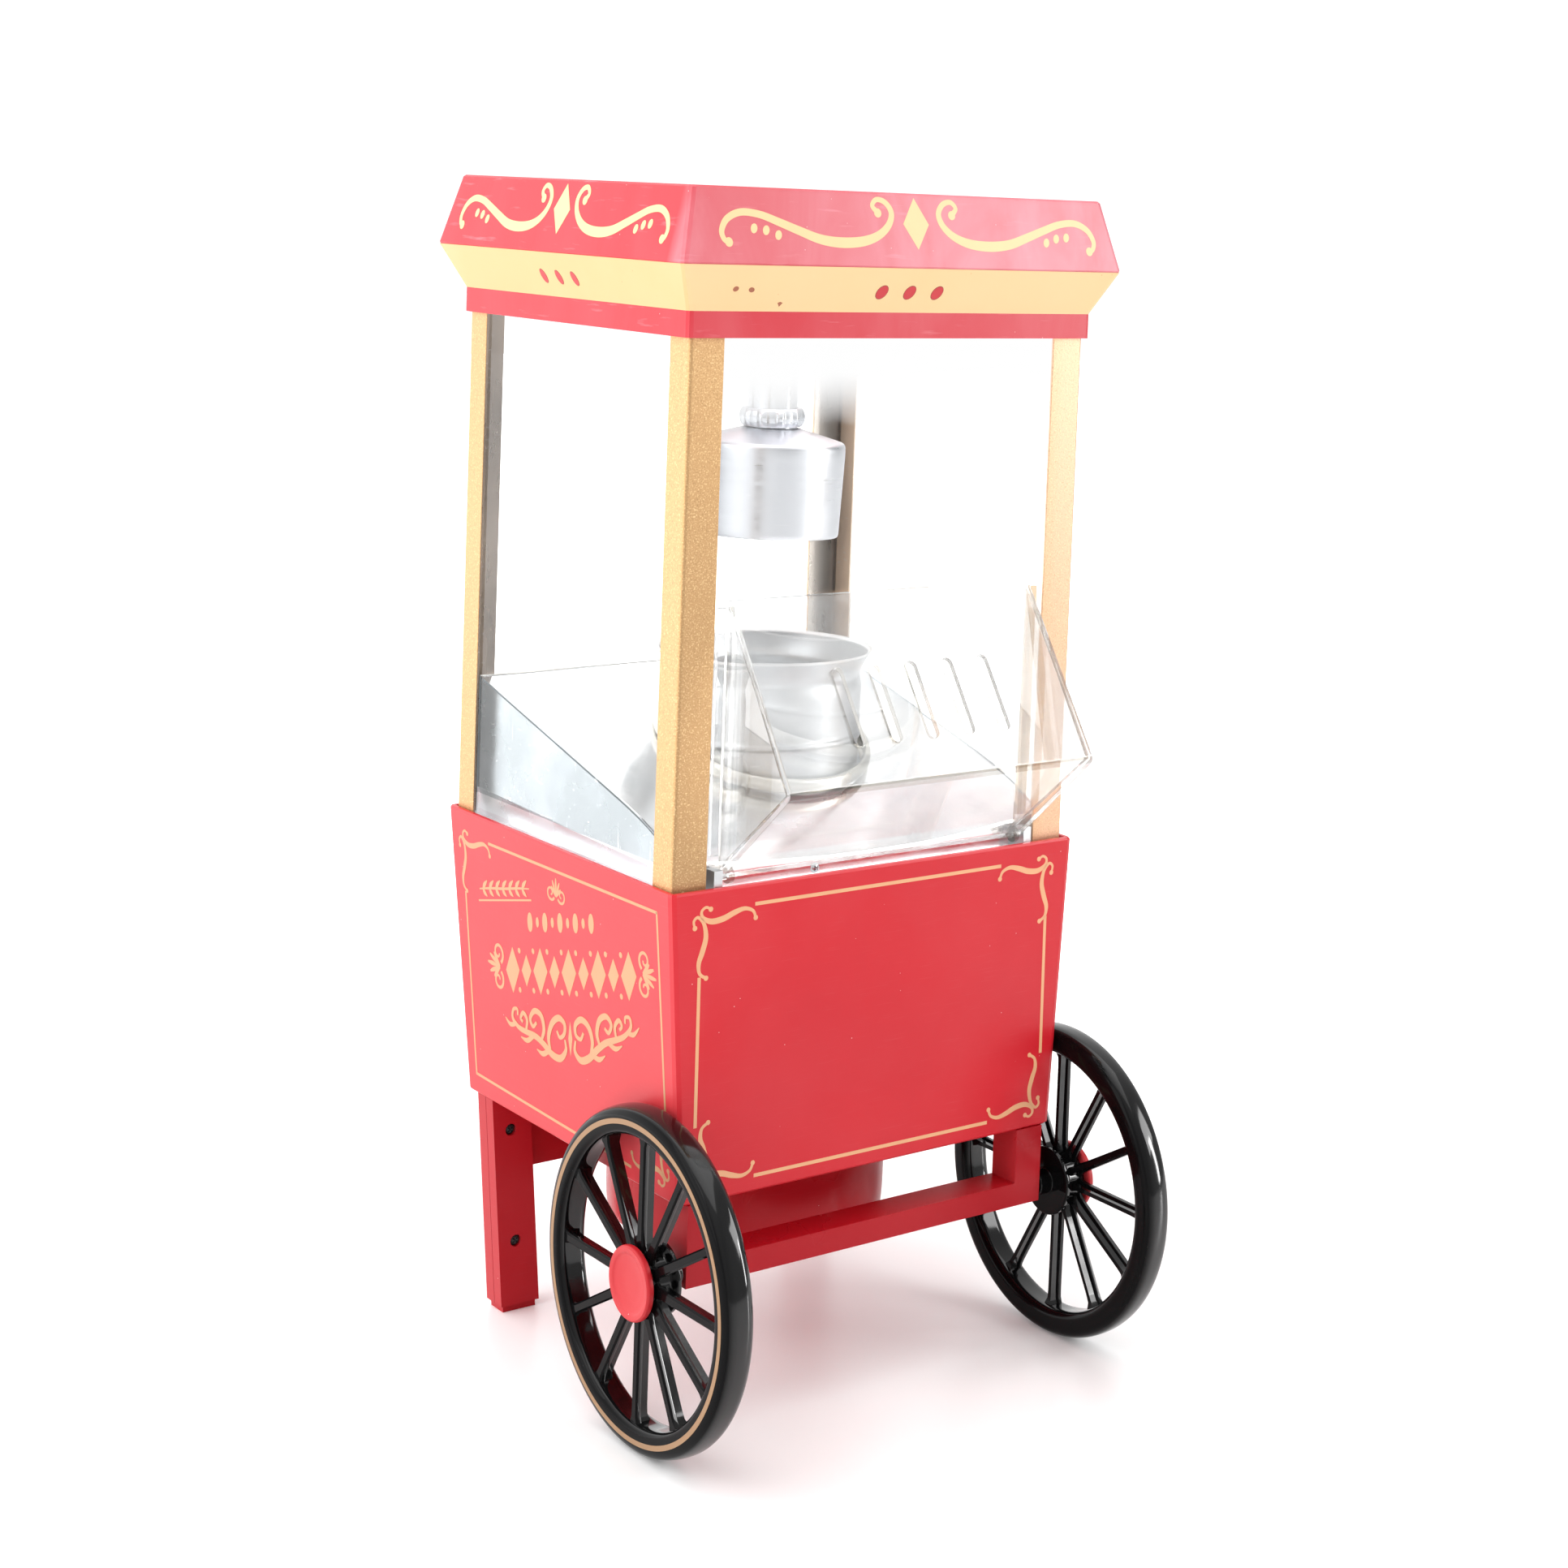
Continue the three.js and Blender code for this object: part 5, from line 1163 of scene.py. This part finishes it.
def cap_parts():
    base = WHEEL_OUT_X - 1.2
    top = base + 3.2
    outer = [(0, base), (14.4, base), (15.0, base + 0.5), (15.0, base + 2.4), (14.2, top)]
    dish = [(12.6, top - 0.1), (11.4, base + 2.2), (6, base + 1.45), (0, base + 1.3)]
    profile = softened(outer, 0.6, 4, closed=False) + softened(dish, 1.6, 6, closed=False)
    return revolve(profile, 96, lambda r, a, x: (x, r * math.cos(a), r * math.sin(a)))


def on_side(parts, side):
    """Parts about the X axis, moved to the wheel's axle and mirrored for the left side."""
    verts, faces = parts
    return [(side * x, y + WHEEL_Y, z + WHEEL_R) for x, y, z in verts], faces


for wheel_side, wheel_name in ((-1, "left"), (1, "right")):
    body = f"wheel_{wheel_name}"
    verts, faces = on_side(wheel_parts(), wheel_side)
    piece(f"spoked_{body}", verts, faces, [BLACK_GLOSS], body, "black_gloss", [body])
    stripe = ring_solid(61.7, 63.8, WHEEL_OUT_X - 0.05, WHEEL_OUT_X + 0.06)
    piece(f"pinstripe_{wheel_name}", *on_side(stripe, wheel_side), [RING_GOLD], body, "bronze_metal")
    cap = on_side(cap_parts(), wheel_side)
    piece(f"dished_cap_{wheel_name}", *cap, [RED_CAP], body, "red_plastic", [f"hub_cap_{wheel_name}"])

# ------------------------------------------------------------------ painted decoration

PAINT_BASE, PAINT_TOP = -0.05, 0.07
# Keeps strokes that cross from lying in one plane.
LAYER_STEP = 0.0012


class Face:
    """A flat outer face of the cart: place(u, v, lift) gives points, u to the right seen from outside."""

    def __init__(self, origin, right, up):
        self.origin = Vector(origin)
        self.right = Vector(right)
        self.up = Vector(up)
        self.normal = self.right.cross(self.up).normalized()

    def place(self, u, v, lift=0.0):
        return tuple(self.origin + self.right * u + self.up * v + self.normal * lift)


def tub_faces():
    """Faces with v equal to the height above the floor."""
    rise = TUB_RIM - TUB_BOTTOM
    lean_x = (TUB_TOP_X - TUB_BASE_X) / rise
    lean_front = (TUB_TOP_FRONT - TUB_BASE_FRONT) / rise
    lean_rear = (TUB_TOP_REAR - TUB_BASE_REAR) / rise
    base_x = TUB_BASE_X - lean_x * TUB_BOTTOM
    return {
        "front": Face((0, TUB_BASE_FRONT - lean_front * TUB_BOTTOM, 0), (1, 0, 0), (0, lean_front, 1)),
        "rear": Face((0, TUB_BASE_REAR - lean_rear * TUB_BOTTOM, 0), (-1, 0, 0), (0, lean_rear, 1)),
        "left": Face((-base_x, 0, 0), (0, -1, 0), (-lean_x, 0, 1)),
        "right": Face((base_x, 0, 0), (0, 1, 0), (lean_x, 0, 1)),
    }


def canopy_faces(low_out, low_z, high_out, high_z, rounding=0.0):
    """Faces of one canopy tier, with v measured up the slope from its lower edge.

    Both edges of the tier may be rounded; the slope between them is flat and is carried on to the edge height.
    """
    up = Vector((0, high_out - low_out, high_z - low_z - 2 * rounding)).normalized()
    out, rise = up.y, up.z
    low_out -= rounding * out / rise
    return {
        "front": Face((0, -CABINET_Y - low_out, low_z), (1, 0, 0), (0, -out, rise)),
        "rear": Face((0, CABINET_Y + low_out, low_z), (-1, 0, 0), (0, out, rise)),
        "left": Face((-CABINET_X - low_out, 0, low_z), (0, -1, 0), (-out, 0, rise)),
        "right": Face((CABINET_X + low_out, 0, low_z), (0, 1, 0), (out, 0, rise)),
    }


def spline_points(points, per_span=8):
    """Smooth line through (u, v, width) points."""
    out = []
    ends = [points[0]] + list(points) + [points[-1]]
    for i in range(1, len(ends) - 2):
        a, b, c, d = (Vector(p) for p in ends[i - 1 : i + 3])
        for k in range(per_span):
            t = k / per_span
            out.append(0.5 * (2 * b + (c - a) * t + (2 * a - 5 * b + 4 * c - d) * t * t + (3 * b - a - 3 * c + d) * t**3))
    out.append(Vector(points[-1]))
    return out


def stroke(face, points, lift=0.0):
    """Brush stroke of changing width as a thin closed solid on a face."""
    line = spline_points(points)
    left, right = [], []
    for i, p in enumerate(line):
        ahead = line[min(i + 1, len(line) - 1)]
        behind = line[max(i - 1, 0)]
        along = Vector((ahead.x - behind.x, ahead.y - behind.y)).normalized()
        half = p.z / 2
        left.append((p.x - along.y * half, p.y + along.x * half))
        right.append((p.x + along.y * half, p.y - along.x * half))
    count = len(line)
    verts = [face.place(u, v, h) for h in (PAINT_BASE, PAINT_TOP + lift) for u, v in left + right]
    size = 2 * count
    faces = []
    for i in range(count - 1):
        a, b, c, d = i, i + 1, count + i + 1, count + i
        faces += [(a, b, c, d), (size + a, size + d, size + c, size + b)]
        faces += [(a, size + a, size + b, b), (d, c, size + c, size + d)]
    faces += [(0, count, size + count, size), (count - 1, size + count - 1, size + size - 1, size - 1)]
    return verts, faces


def blob(face, u, v, width, height, turn=0.0, sides=28, lift=0.01):
    """Painted oval."""
    c, s = math.cos(math.radians(turn)), math.sin(math.radians(turn))
    ring = []
    for i in range(sides):
        a = 2 * math.pi * i / sides
        x, y = width / 2 * math.cos(a), height / 2 * math.sin(a)
        ring.append((u + x * c - y * s, v + x * s + y * c))
    return prism(ring, PAINT_BASE, PAINT_TOP + lift, face.place)


def patch(face, corners, lift=0.0):
    return prism(corners, PAINT_BASE, PAINT_TOP + lift, face.place)


def mirrored_points(points, centre=0.0):
    return [(2 * centre - u, v, w) for u, v, w in points]


ROOF_SCROLL = [
    (18.8, 22.7, 2.4),
    (21.2, 25.4, 2.0),
    (18.8, 28.0, 2.1),
    (14.6, 26.9, 2.4),
    (12.0, 22.8, 2.6),
    (13.8, 17.8, 2.9),
    (19.2, 13.4, 3.4),
    (27.2, 10.7, 4.0),
    (37.6, 9.9, 4.3),
    (48.0, 11.0, 4.0),
    (58.0, 14.2, 3.6),
    (67.2, 17.4, 3.3),
    (76.0, 20.2, 3.0),
    (84.7, 20.9, 2.9),
    (91.2, 18.2, 2.7),
    (94.2, 13.6, 2.4),
    (93.6, 10.2, 2.2),
    (91.4, 8.6, 2.2),
]


def roof_scrolls(face, stretch, shift):
    """Mirrored scrolls either side of a tall diamond, with three drops under each outer arch."""
    parts = []
    for side in (1, -1):
        scroll = [(shift + side * u * stretch, v, w) for u, v, w in ROOF_SCROLL]
        parts.append(stroke(face, scroll))
        first, last = scroll[0], scroll[-1]
        parts.append(blob(face, first[0], first[1] - 0.2, 3.6, 3.8))
        parts.append(blob(face, last[0], last[1] + 0.3, 3.6, 3.8))
        for u, v in ((68.0, 12.2), (73.6, 14.0), (79.2, 14.6)):
            parts.append(blob(face, shift + side * u * stretch, v, 3.0, 4.0, -20))
    diamond = [(shift - 6.5, 18.3), (shift, 7.8), (shift + 6.5, 18.3), (shift, 29.2)]
    parts.append(patch(face, diamond))
    return joined(*parts)


roof_faces = canopy_faces(EDGE_OUT, ROOF_EDGE, TOP_OUT, ROOF_TOP, ROOF_ROUNDING)
band_faces = canopy_faces(COLLAR_OUT, COLLAR_TOP, EDGE_OUT, ROOF_EDGE)
for face_name, (stretch, shift) in {"front": (1.0, 2.1), "rear": (1.0, 0.0), "left": (0.885, -0.3), "right": (0.885, 0.0)}.items():
    verts, faces = roof_scrolls(roof_faces[face_name], stretch, shift)
    piece(f"roof_scrolls_{face_name}", verts, faces, [CREAM_PAINT], "cart", "cream_plastic")

for face_name, (centre, width, turn) in {"front": (0.8, 4.9, -32), "rear": (0, 4.9, -32), "left": (-2.2, 3.9, 24), "right": (0, 3.9, 24)}.items():
    face = band_faces[face_name]
    pitch = 14.0 if face_name in ("front", "rear") else 12.5
    ovals = [blob(face, centre + k * pitch, 9.3, width, 6.4, turn) for k in (-1, 0, 1)]
    edges = [blob(face, centre + k * pitch, 9.3, width + 0.5, 6.9, turn, lift=-0.02) for k in (-1, 0, 1)]
    piece(f"band_ovals_{face_name}", *joined(*ovals), [OVAL_PAINT], "cart", "red_plastic")
    piece(f"band_oval_edges_{face_name}", *joined(*edges), [OUTLINE_PAINT], "cart", "red_plastic")

chips = [blob(band_faces["front"], -83.6, 9.9, 2.7, 2.3, 20, 11), blob(band_faces["front"], -76.2, 9.6, 2.8, 2.2, -15, 11)]
chips.append(patch(band_faces["front"], [(-62.2, 3.9), (-61.0, 2.2), (-59.8, 4.0), (-61.1, 4.4)]))
piece("band_chips", *joined(*chips), [CHIP_PAINT], "cart", "cream_plastic")

CORNER_ALONG = [
    (4.6, 0.6, 1.0),
    (2.4, 1.6, 1.1),
    (0.4, 0.2, 1.2),
    (1.0, -2.4, 1.6),
    (5.0, -4.4, 2.3),
    (10.5, -4.0, 2.5),
    (15.8, -2.2, 2.3),
    (20.6, -1.2, 1.7),
    (24.6, -2.6, 1.3),
    (26.0, -5.6, 1.2),
]
CORNER_DOWN = [
    (-2.6, -6.2, 1.0),
    (-3.2, -3.4, 1.1),
    (-1.2, -2.0, 1.3),
    (1.6, -5.0, 1.6),
    (2.6, -10.5, 2.2),
    (1.2, -16.0, 2.4),
    (-0.4, -20.6, 2.0),
    (0.2, -24.8, 1.4),
    (3.2, -26.9, 1.3),
]


def corner_strokes(face, u, v, flip_u, flip_v, size=1.0):
    """Pair of S-shaped strokes that turn a border corner at (u, v)."""
    parts = []
    for points in (CORNER_ALONG, CORNER_DOWN):
        placed = [(u + flip_u * a * size, v + flip_v * b * size, w * size) for a, b, w in points]
        parts.append(stroke(face, placed))
        for end in (placed[0], placed[-1]):
            parts.append(blob(face, end[0], end[1], 2.1 * size, 2.1 * size))
    return parts


def line_patch(face, a, b, width):
    along = Vector((b[0] - a[0], b[1] - a[1])).normalized()
    across = Vector((-along.y, along.x)) * width / 2
    corners = [(a[0] - across.x, a[1] - across.y), (b[0] - across.x, b[1] - across.y)]
    corners += [(b[0] + across.x, b[1] + across.y), (a[0] + across.x, a[1] + across.y)]
    return patch(face, corners)


def end_panel(face):
    """Border of the door end and the rear: four lines with a pair of strokes in every corner."""
    width = 1.5
    top, low, side = 214.6, 103.2, 88.6
    parts = [line_patch(face, (-63, top), (63, top), width), line_patch(face, (-60, low), (60, low), width)]
    parts += [line_patch(face, (-side, 188.4), (-side, 127.8), width), line_patch(face, (side, 189.6), (side, 129.0), width)]
    parts += corner_strokes(face, -side, top, 1, 1) + corner_strokes(face, side, top, -1, 1)
    parts += corner_strokes(face, -side + 3, low, 1, -1, 0.96) + corner_strokes(face, side - 3, low, -1, -1, 0.96)
    return joined(*parts)


def side_panel(face, flip):
    """Border of a side: plain mitred lines, with strokes at the two opposite corners, and a framed ornament."""
    width = 1.25

    def spot(u, v):
        return (flip * u, v)

    parts = [
        line_patch(face, spot(-55.3, 212.5), spot(82.6, 213.6), width),
        line_patch(face, spot(82.2, 213.9), spot(85.9, 130.5), width),
        line_patch(face, spot(-76.9, 186.7), spot(-71.2, 105.3), width),
        line_patch(face, spot(-71.6, 105.7), spot(59.0, 102.8), width),
    ]
    parts += corner_strokes(face, flip * -78.6, 212.4, flip, 1, 0.94)
    parts += corner_strokes(face, flip * 84.6, 103.6, -flip, -1, 0.96)
    parts += side_ornament(face, flip)
    return joined(*parts)


def spiral(u, v, radius, turns, start, direction, wide=1.5, narrow=0.8, steps=18):
    """Curl that winds in from its rim, as (u, v, width) points."""
    out = []
    for i in range(steps + 1):
        share = i / steps
        angle = math.radians(start) + direction * share * turns * 2 * math.pi
        r = radius * (1 - 0.78 * share)
        out.append((u + r * math.cos(angle), v + r * math.sin(angle), mix(wide, narrow, share)))
    return out


def flourish(face, u, v, size, turn=0.0):
    """Small palmette: two facing curls and five leaves."""
    c, s = math.cos(math.radians(turn)), math.sin(math.radians(turn))

    def spun(points):
        return [(u + (a * c - b * s) * size, v + (a * s + b * c) * size, w * size) for a, b, w in points]

    parts = []
    for side in (-1, 1):
        curl = [(side * a, b, w) for a, b, w in spiral(4.9, 0.2, 3.8, 1.15, -150, 1, 1.3, 0.8)]
        parts.append(stroke(face, spun(curl), LAYER_STEP * len(parts)))
    for angle, length in ((-62, 5.0), (-31, 6.2), (0, 6.9), (31, 6.2), (62, 5.0)):
        a = math.radians(angle)
        reach = ((0.05, -1.2, 0.5), (0.6, 0.2, 1.6), (1.0, 0.9, 0.7))
        leaf = [(share * length * math.sin(a), rise + share * length * math.cos(a), w) for share, rise, w in reach]
        parts.append(stroke(face, spun(leaf), LAYER_STEP * len(parts)))
    return parts


ORNAMENT_U, ORNAMENT_SLOPE = 12.0, 0.22
# One side of the lower scrollwork, as (along, up, width) points from the middle outward.
SCROLL_STEM = [
    (4.4, 143.0, 1.3),
    (3.8, 138.4, 2.2),
    (8.4, 134.8, 3.0),
    (15.2, 136.0, 3.3),
    (22.0, 140.0, 3.1),
    (29.0, 143.2, 2.9),
    (36.5, 144.8, 2.6),
    (43.5, 146.6, 2.3),
    (48.8, 150.4, 1.9),
    (48.2, 154.4, 1.6),
    (44.8, 154.6, 1.4),
    (44.6, 152.0, 1.3),
]
SCROLL_INNER = [
    (16.6, 137.4, 1.6),
    (18.2, 143.2, 2.5),
    (15.2, 149.4, 2.9),
    (9.4, 152.2, 2.8),
    (4.6, 149.8, 2.4),
    (4.8, 145.6, 2.0),
    (8.6, 143.8, 1.7),
    (11.0, 146.6, 1.4),
]
SCROLL_MIDDLE = [
    (24.4, 141.6, 1.6),
    (22.0, 146.8, 2.4),
    (24.2, 152.6, 2.7),
    (29.8, 154.4, 2.5),
    (33.6, 151.0, 2.1),
    (31.4, 147.6, 1.8),
    (28.2, 149.4, 1.4),
]
SCROLL_OUTER = [(37.6, 145.2, 1.5), (36.4, 150.2, 2.0), (39.6, 153.2, 2.0), (42.0, 150.8, 1.6), (40.0, 149.2, 1.3)]
LEAF_INNER = [(18.0, 137.6, 2.2), (23.4, 136.0, 2.3), (28.4, 137.8, 0.5)]
LEAF_MIDDLE = [(31.0, 143.4, 2.0), (36.6, 141.2, 2.2), (42.0, 142.6, 0.5)]
LEAF_OUTER = [(46.4, 148.2, 1.8), (51.2, 147.8, 2.0), (55.4, 150.8, 0.5)]
SCROLLWORK = (SCROLL_STEM, SCROLL_INNER, SCROLL_MIDDLE, SCROLL_OUTER, LEAF_INNER, LEAF_MIDDLE, LEAF_OUTER)


def side_ornament(face, flip):
    """Generic fairground ornament whose rows climb toward the door: vine, beads, lozenges, palmettes, scrolls."""
    parts = []

    def spot(a, b):
        return (flip * (ORNAMENT_U + a), b + ORNAMENT_SLOPE * a)

    def draw(points, side=1):
        line = [(*spot(side * a, b), w) for a, b, w in points]
        parts.append(stroke(face, line, LAYER_STEP * (len(parts) + 1)))

    lozenges = 9
    for i in range(lozenges):
        a = mix(-48.0, 48.0, i / (lozenges - 1))
        wide, tall = (6.0, 10.2) if i % 2 == 0 else (4.2, 7.0)
        corners = [(a - wide, 171.8), (a, 171.8 - tall), (a + wide, 171.8), (a, 171.8 + tall)]
        parts.append(patch(face, [spot(*corner) for corner in corners]))
        if i:
            gap = a - 96.0 / (lozenges - 1) / 2
            for b in (163.2, 180.4):
                parts.append(blob(face, *spot(gap, b), 2.4, 2.4))
    beads = 9
    for i in range(beads):
        size = (4.4, 8.4) if i % 2 == 0 else (2.6, 4.4)
        parts.append(blob(face, *spot(mix(-32.0, 19.0, i / (beads - 1)), 193.0), *size))
    draw([(-76, 207.4, 0.6), (-66, 207.6, 1.1), (-54, 207.4, 1.1), (-42, 207.6, 1.0), (-32, 207.4, 0.5)])
    for i in range(7):
        a = -73.0 + 5.8 * i
        for rise in (-1, 1):
            draw([(a, 207.5, 0.6), (a + 1.5, 207.5 + 1.7 * rise, 2.1), (a + 3.9, 207.5 + 3.5 * rise, 0.5)])
    parts.append(line_patch(face, spot(-77, 202.2), spot(-30.5, 202.5), 0.8))
    parts += flourish(face, *spot(-9.3, 205.0), 0.90)
    parts += flourish(face, *spot(-60.5, 173.2), 1.22, 90 * flip)
    parts += flourish(face, *spot(60.0, 172.8), 1.15, -90 * flip)
    for side in (-1, 1):
        for points in SCROLLWORK:
            draw(points, side)
    middle = [(-1.7, 143.6), (0, 136.0), (1.7, 143.6), (0, 151.2)]
    parts.append(patch(face, [spot(*corner) for corner in middle]))
    return parts


faces_of_tub = tub_faces()
for face_name in ("front", "rear"):
    piece(f"border_{face_name}", *end_panel(faces_of_tub[face_name]), [GOLD_PAINT], "cart", "bronze_metal")
for face_name, flip in (("left", 1), ("right", -1)):
    piece(f"border_{face_name}", *side_panel(faces_of_tub[face_name], flip), [SIDE_GOLD], "cart", "bronze_metal")

# ------------------------------------------------------------------ floor, light, camera


def build_stage():
    size = 6.0
    mesh = bpy.data.meshes.new("floor")
    mesh.from_pydata([(-size, -size, 0), (size, -size, 0), (size, size, 0), (-size, size, 0)], [], [(0, 1, 2, 3)])
    floor = bpy.data.objects.new("floor", mesh)
    bpy.context.scene.collection.objects.link(floor)
    s = Shader("floor_white", (0.93, 0.92, 0.92), 0.32, specular=0.35)
    s.tint(s.remap(s.noise(3, detail=2), 0.4, 0.7, 0, 0.2), (0.96, 0.955, 0.95))
    across = s.nodes.new("ShaderNodeVectorMath")
    across.operation = "LENGTH"
    s.links.new(s.coords, across.inputs[0])
    path = s.nodes.new("ShaderNodeLightPath")
    seen = s.math("MAXIMUM", path.outputs["Is Camera Ray"], path.outputs["Is Transmission Ray"])
    glow = s.remap(across.outputs["Value"], 0.25, 0.75, 0.05, 1.0)
    toward = s.math("ADD", s.math("MULTIPLY", s.axis("X"), BRIGHT_SIDE[0]), s.math("MULTIPLY", s.axis("Y"), BRIGHT_SIDE[1]))
    sheen = s.math("MULTIPLY", s.remap(toward, 0.4, 2.2, 0, 1.5), path.outputs["Is Glossy Ray"])
    s.links.new(s.math("ADD", s.math("MULTIPLY", glow, seen), sheen), s.bsdf.inputs["Emission Strength"])
    s.bsdf.inputs["Emission Color"].default_value = (1, 1, 1, 1)
    mesh.materials.append(s.done())


def area_light(name, location, target, size, power, color=(1, 1, 1)):
    data = bpy.data.lights.new(name, "AREA")
    data.shape = "RECTANGLE"
    data.size, data.size_y = size
    data.energy = power
    data.color = color
    lamp = bpy.data.objects.new(name, data)
    lamp.location = location
    lamp.rotation_mode = "QUATERNION"
    lamp.rotation_quaternion = (Vector(target) - Vector(location)).to_track_quat("-Z", "Y")
    bpy.context.scene.collection.objects.link(lamp)
    return lamp


def build_light():
    """White surroundings that the camera sees as plain white, and soft boxes at the left, above and in front."""
    world = bpy.data.worlds.new("studio")
    bpy.context.scene.world = world
    world.use_nodes = True
    nodes, links = world.node_tree.nodes, world.node_tree.links
    background = nodes["Background"]
    background.inputs[0].default_value = (1, 1, 1, 1)
    toward = nodes.new("ShaderNodeVectorMath")
    toward.operation = "DOT_PRODUCT"
    toward.inputs[1].default_value = BRIGHT_SIDE
    links.new(nodes.new("ShaderNodeTexCoord").outputs["Generated"], toward.inputs[0])
    ramp = nodes.new("ShaderNodeMapRange")
    ramp.inputs["From Min"].default_value = -0.6
    ramp.inputs["From Max"].default_value = 1.0
    ramp.inputs["To Min"].default_value = 0.45
    ramp.inputs["To Max"].default_value = 2.2
    links.new(toward.outputs["Value"], ramp.inputs["Value"])
    links.new(ramp.outputs["Result"], background.inputs[1])
    seen = nodes.new("ShaderNodeBackground")
    seen.inputs[0].default_value = (1, 1, 1, 1)
    seen.inputs[1].default_value = 1.2
    path = nodes.new("ShaderNodeLightPath")
    either = nodes.new("ShaderNodeMath")
    either.operation = "MAXIMUM"
    links.new(path.outputs["Is Camera Ray"], either.inputs[0])
    links.new(path.outputs["Is Transmission Ray"], either.inputs[1])
    chooser = nodes.new("ShaderNodeMixShader")
    links.new(either.outputs[0], chooser.inputs[0])
    links.new(background.outputs[0], chooser.inputs[1])
    links.new(seen.outputs[0], chooser.inputs[2])
    links.new(chooser.outputs[0], nodes["World Output"].inputs[0])
    area_light("key_left", (-1.9, 0.1, 1.3), (0, 0, 0.25), (1.6, 1.8), 16)
    area_light("top", (0.1, -0.1, 2.1), (0, 0, 0.2), (2.0, 2.0), 14)
    area_light("front_right", (1.60, -1.45, 1.30), (0, 0, 0.4), (1.2, 0.8), 19)
    strip = area_light("strip_right", (1.60, -1.45, 0.60), (0, 0, 0.15), (0.26, 0.9), 16)
    strip.visible_diffuse = False
    strip.visible_transmission = False


def driven_shift(camera, name, value):
    """Lens shift that holds only while the camera stands at its first place, so other views stay centred."""
    home = camera.location.copy()
    driver = camera.data.driver_add(name).driver
    driver.type = "SCRIPTED"
    for letter, channel in (("x", "LOC_X"), ("y", "LOC_Y")):
        variable = driver.variables.new()
        variable.name = letter
        variable.type = "TRANSFORMS"
        variable.targets[0].id = camera
        variable.targets[0].transform_type = channel
        variable.targets[0].transform_space = "WORLD_SPACE"
    driver.expression = f"{value} if abs(x - {home.x:.5f}) + abs(y - {home.y:.5f}) < 0.001 else 0"


def build_camera():
    place = at(-679.11, -999.97, 500.32)
    azimuth, down, roll = 0.6885, 0.0742, 0.0426
    focal_px, sensor_px, sensor_mm = 3422.24, 1932, 36
    centre_px = (1266.64, 498.37)
    forward = Vector((math.sin(azimuth) * math.cos(down), math.cos(azimuth) * math.cos(down), -math.sin(down)))
    level = Vector((math.cos(azimuth), -math.sin(azimuth), 0))
    upward = level.cross(forward)
    right = level * math.cos(roll) + upward * math.sin(roll)
    up = upward * math.cos(roll) - level * math.sin(roll)
    camera = bpy.data.objects.new("camera", bpy.data.cameras.new("camera"))
    bpy.context.scene.collection.objects.link(camera)
    turn = Matrix((right, up, -forward)).transposed()
    camera.matrix_world = Matrix.Translation(place) @ turn.to_4x4()
    camera.data.sensor_width = sensor_mm
    camera.data.lens = focal_px * sensor_mm / sensor_px
    camera.data.clip_start, camera.data.clip_end = 0.05, 50
    driven_shift(camera, "shift_x", round((sensor_px / 2 - centre_px[0]) / sensor_px, 5))
    driven_shift(camera, "shift_y", round((centre_px[1] - sensor_px / 2) / sensor_px, 5))
    bpy.context.scene.camera = camera


build_stage()
build_light()
build_camera()
bpy.context.scene.view_settings.view_transform = "Standard"
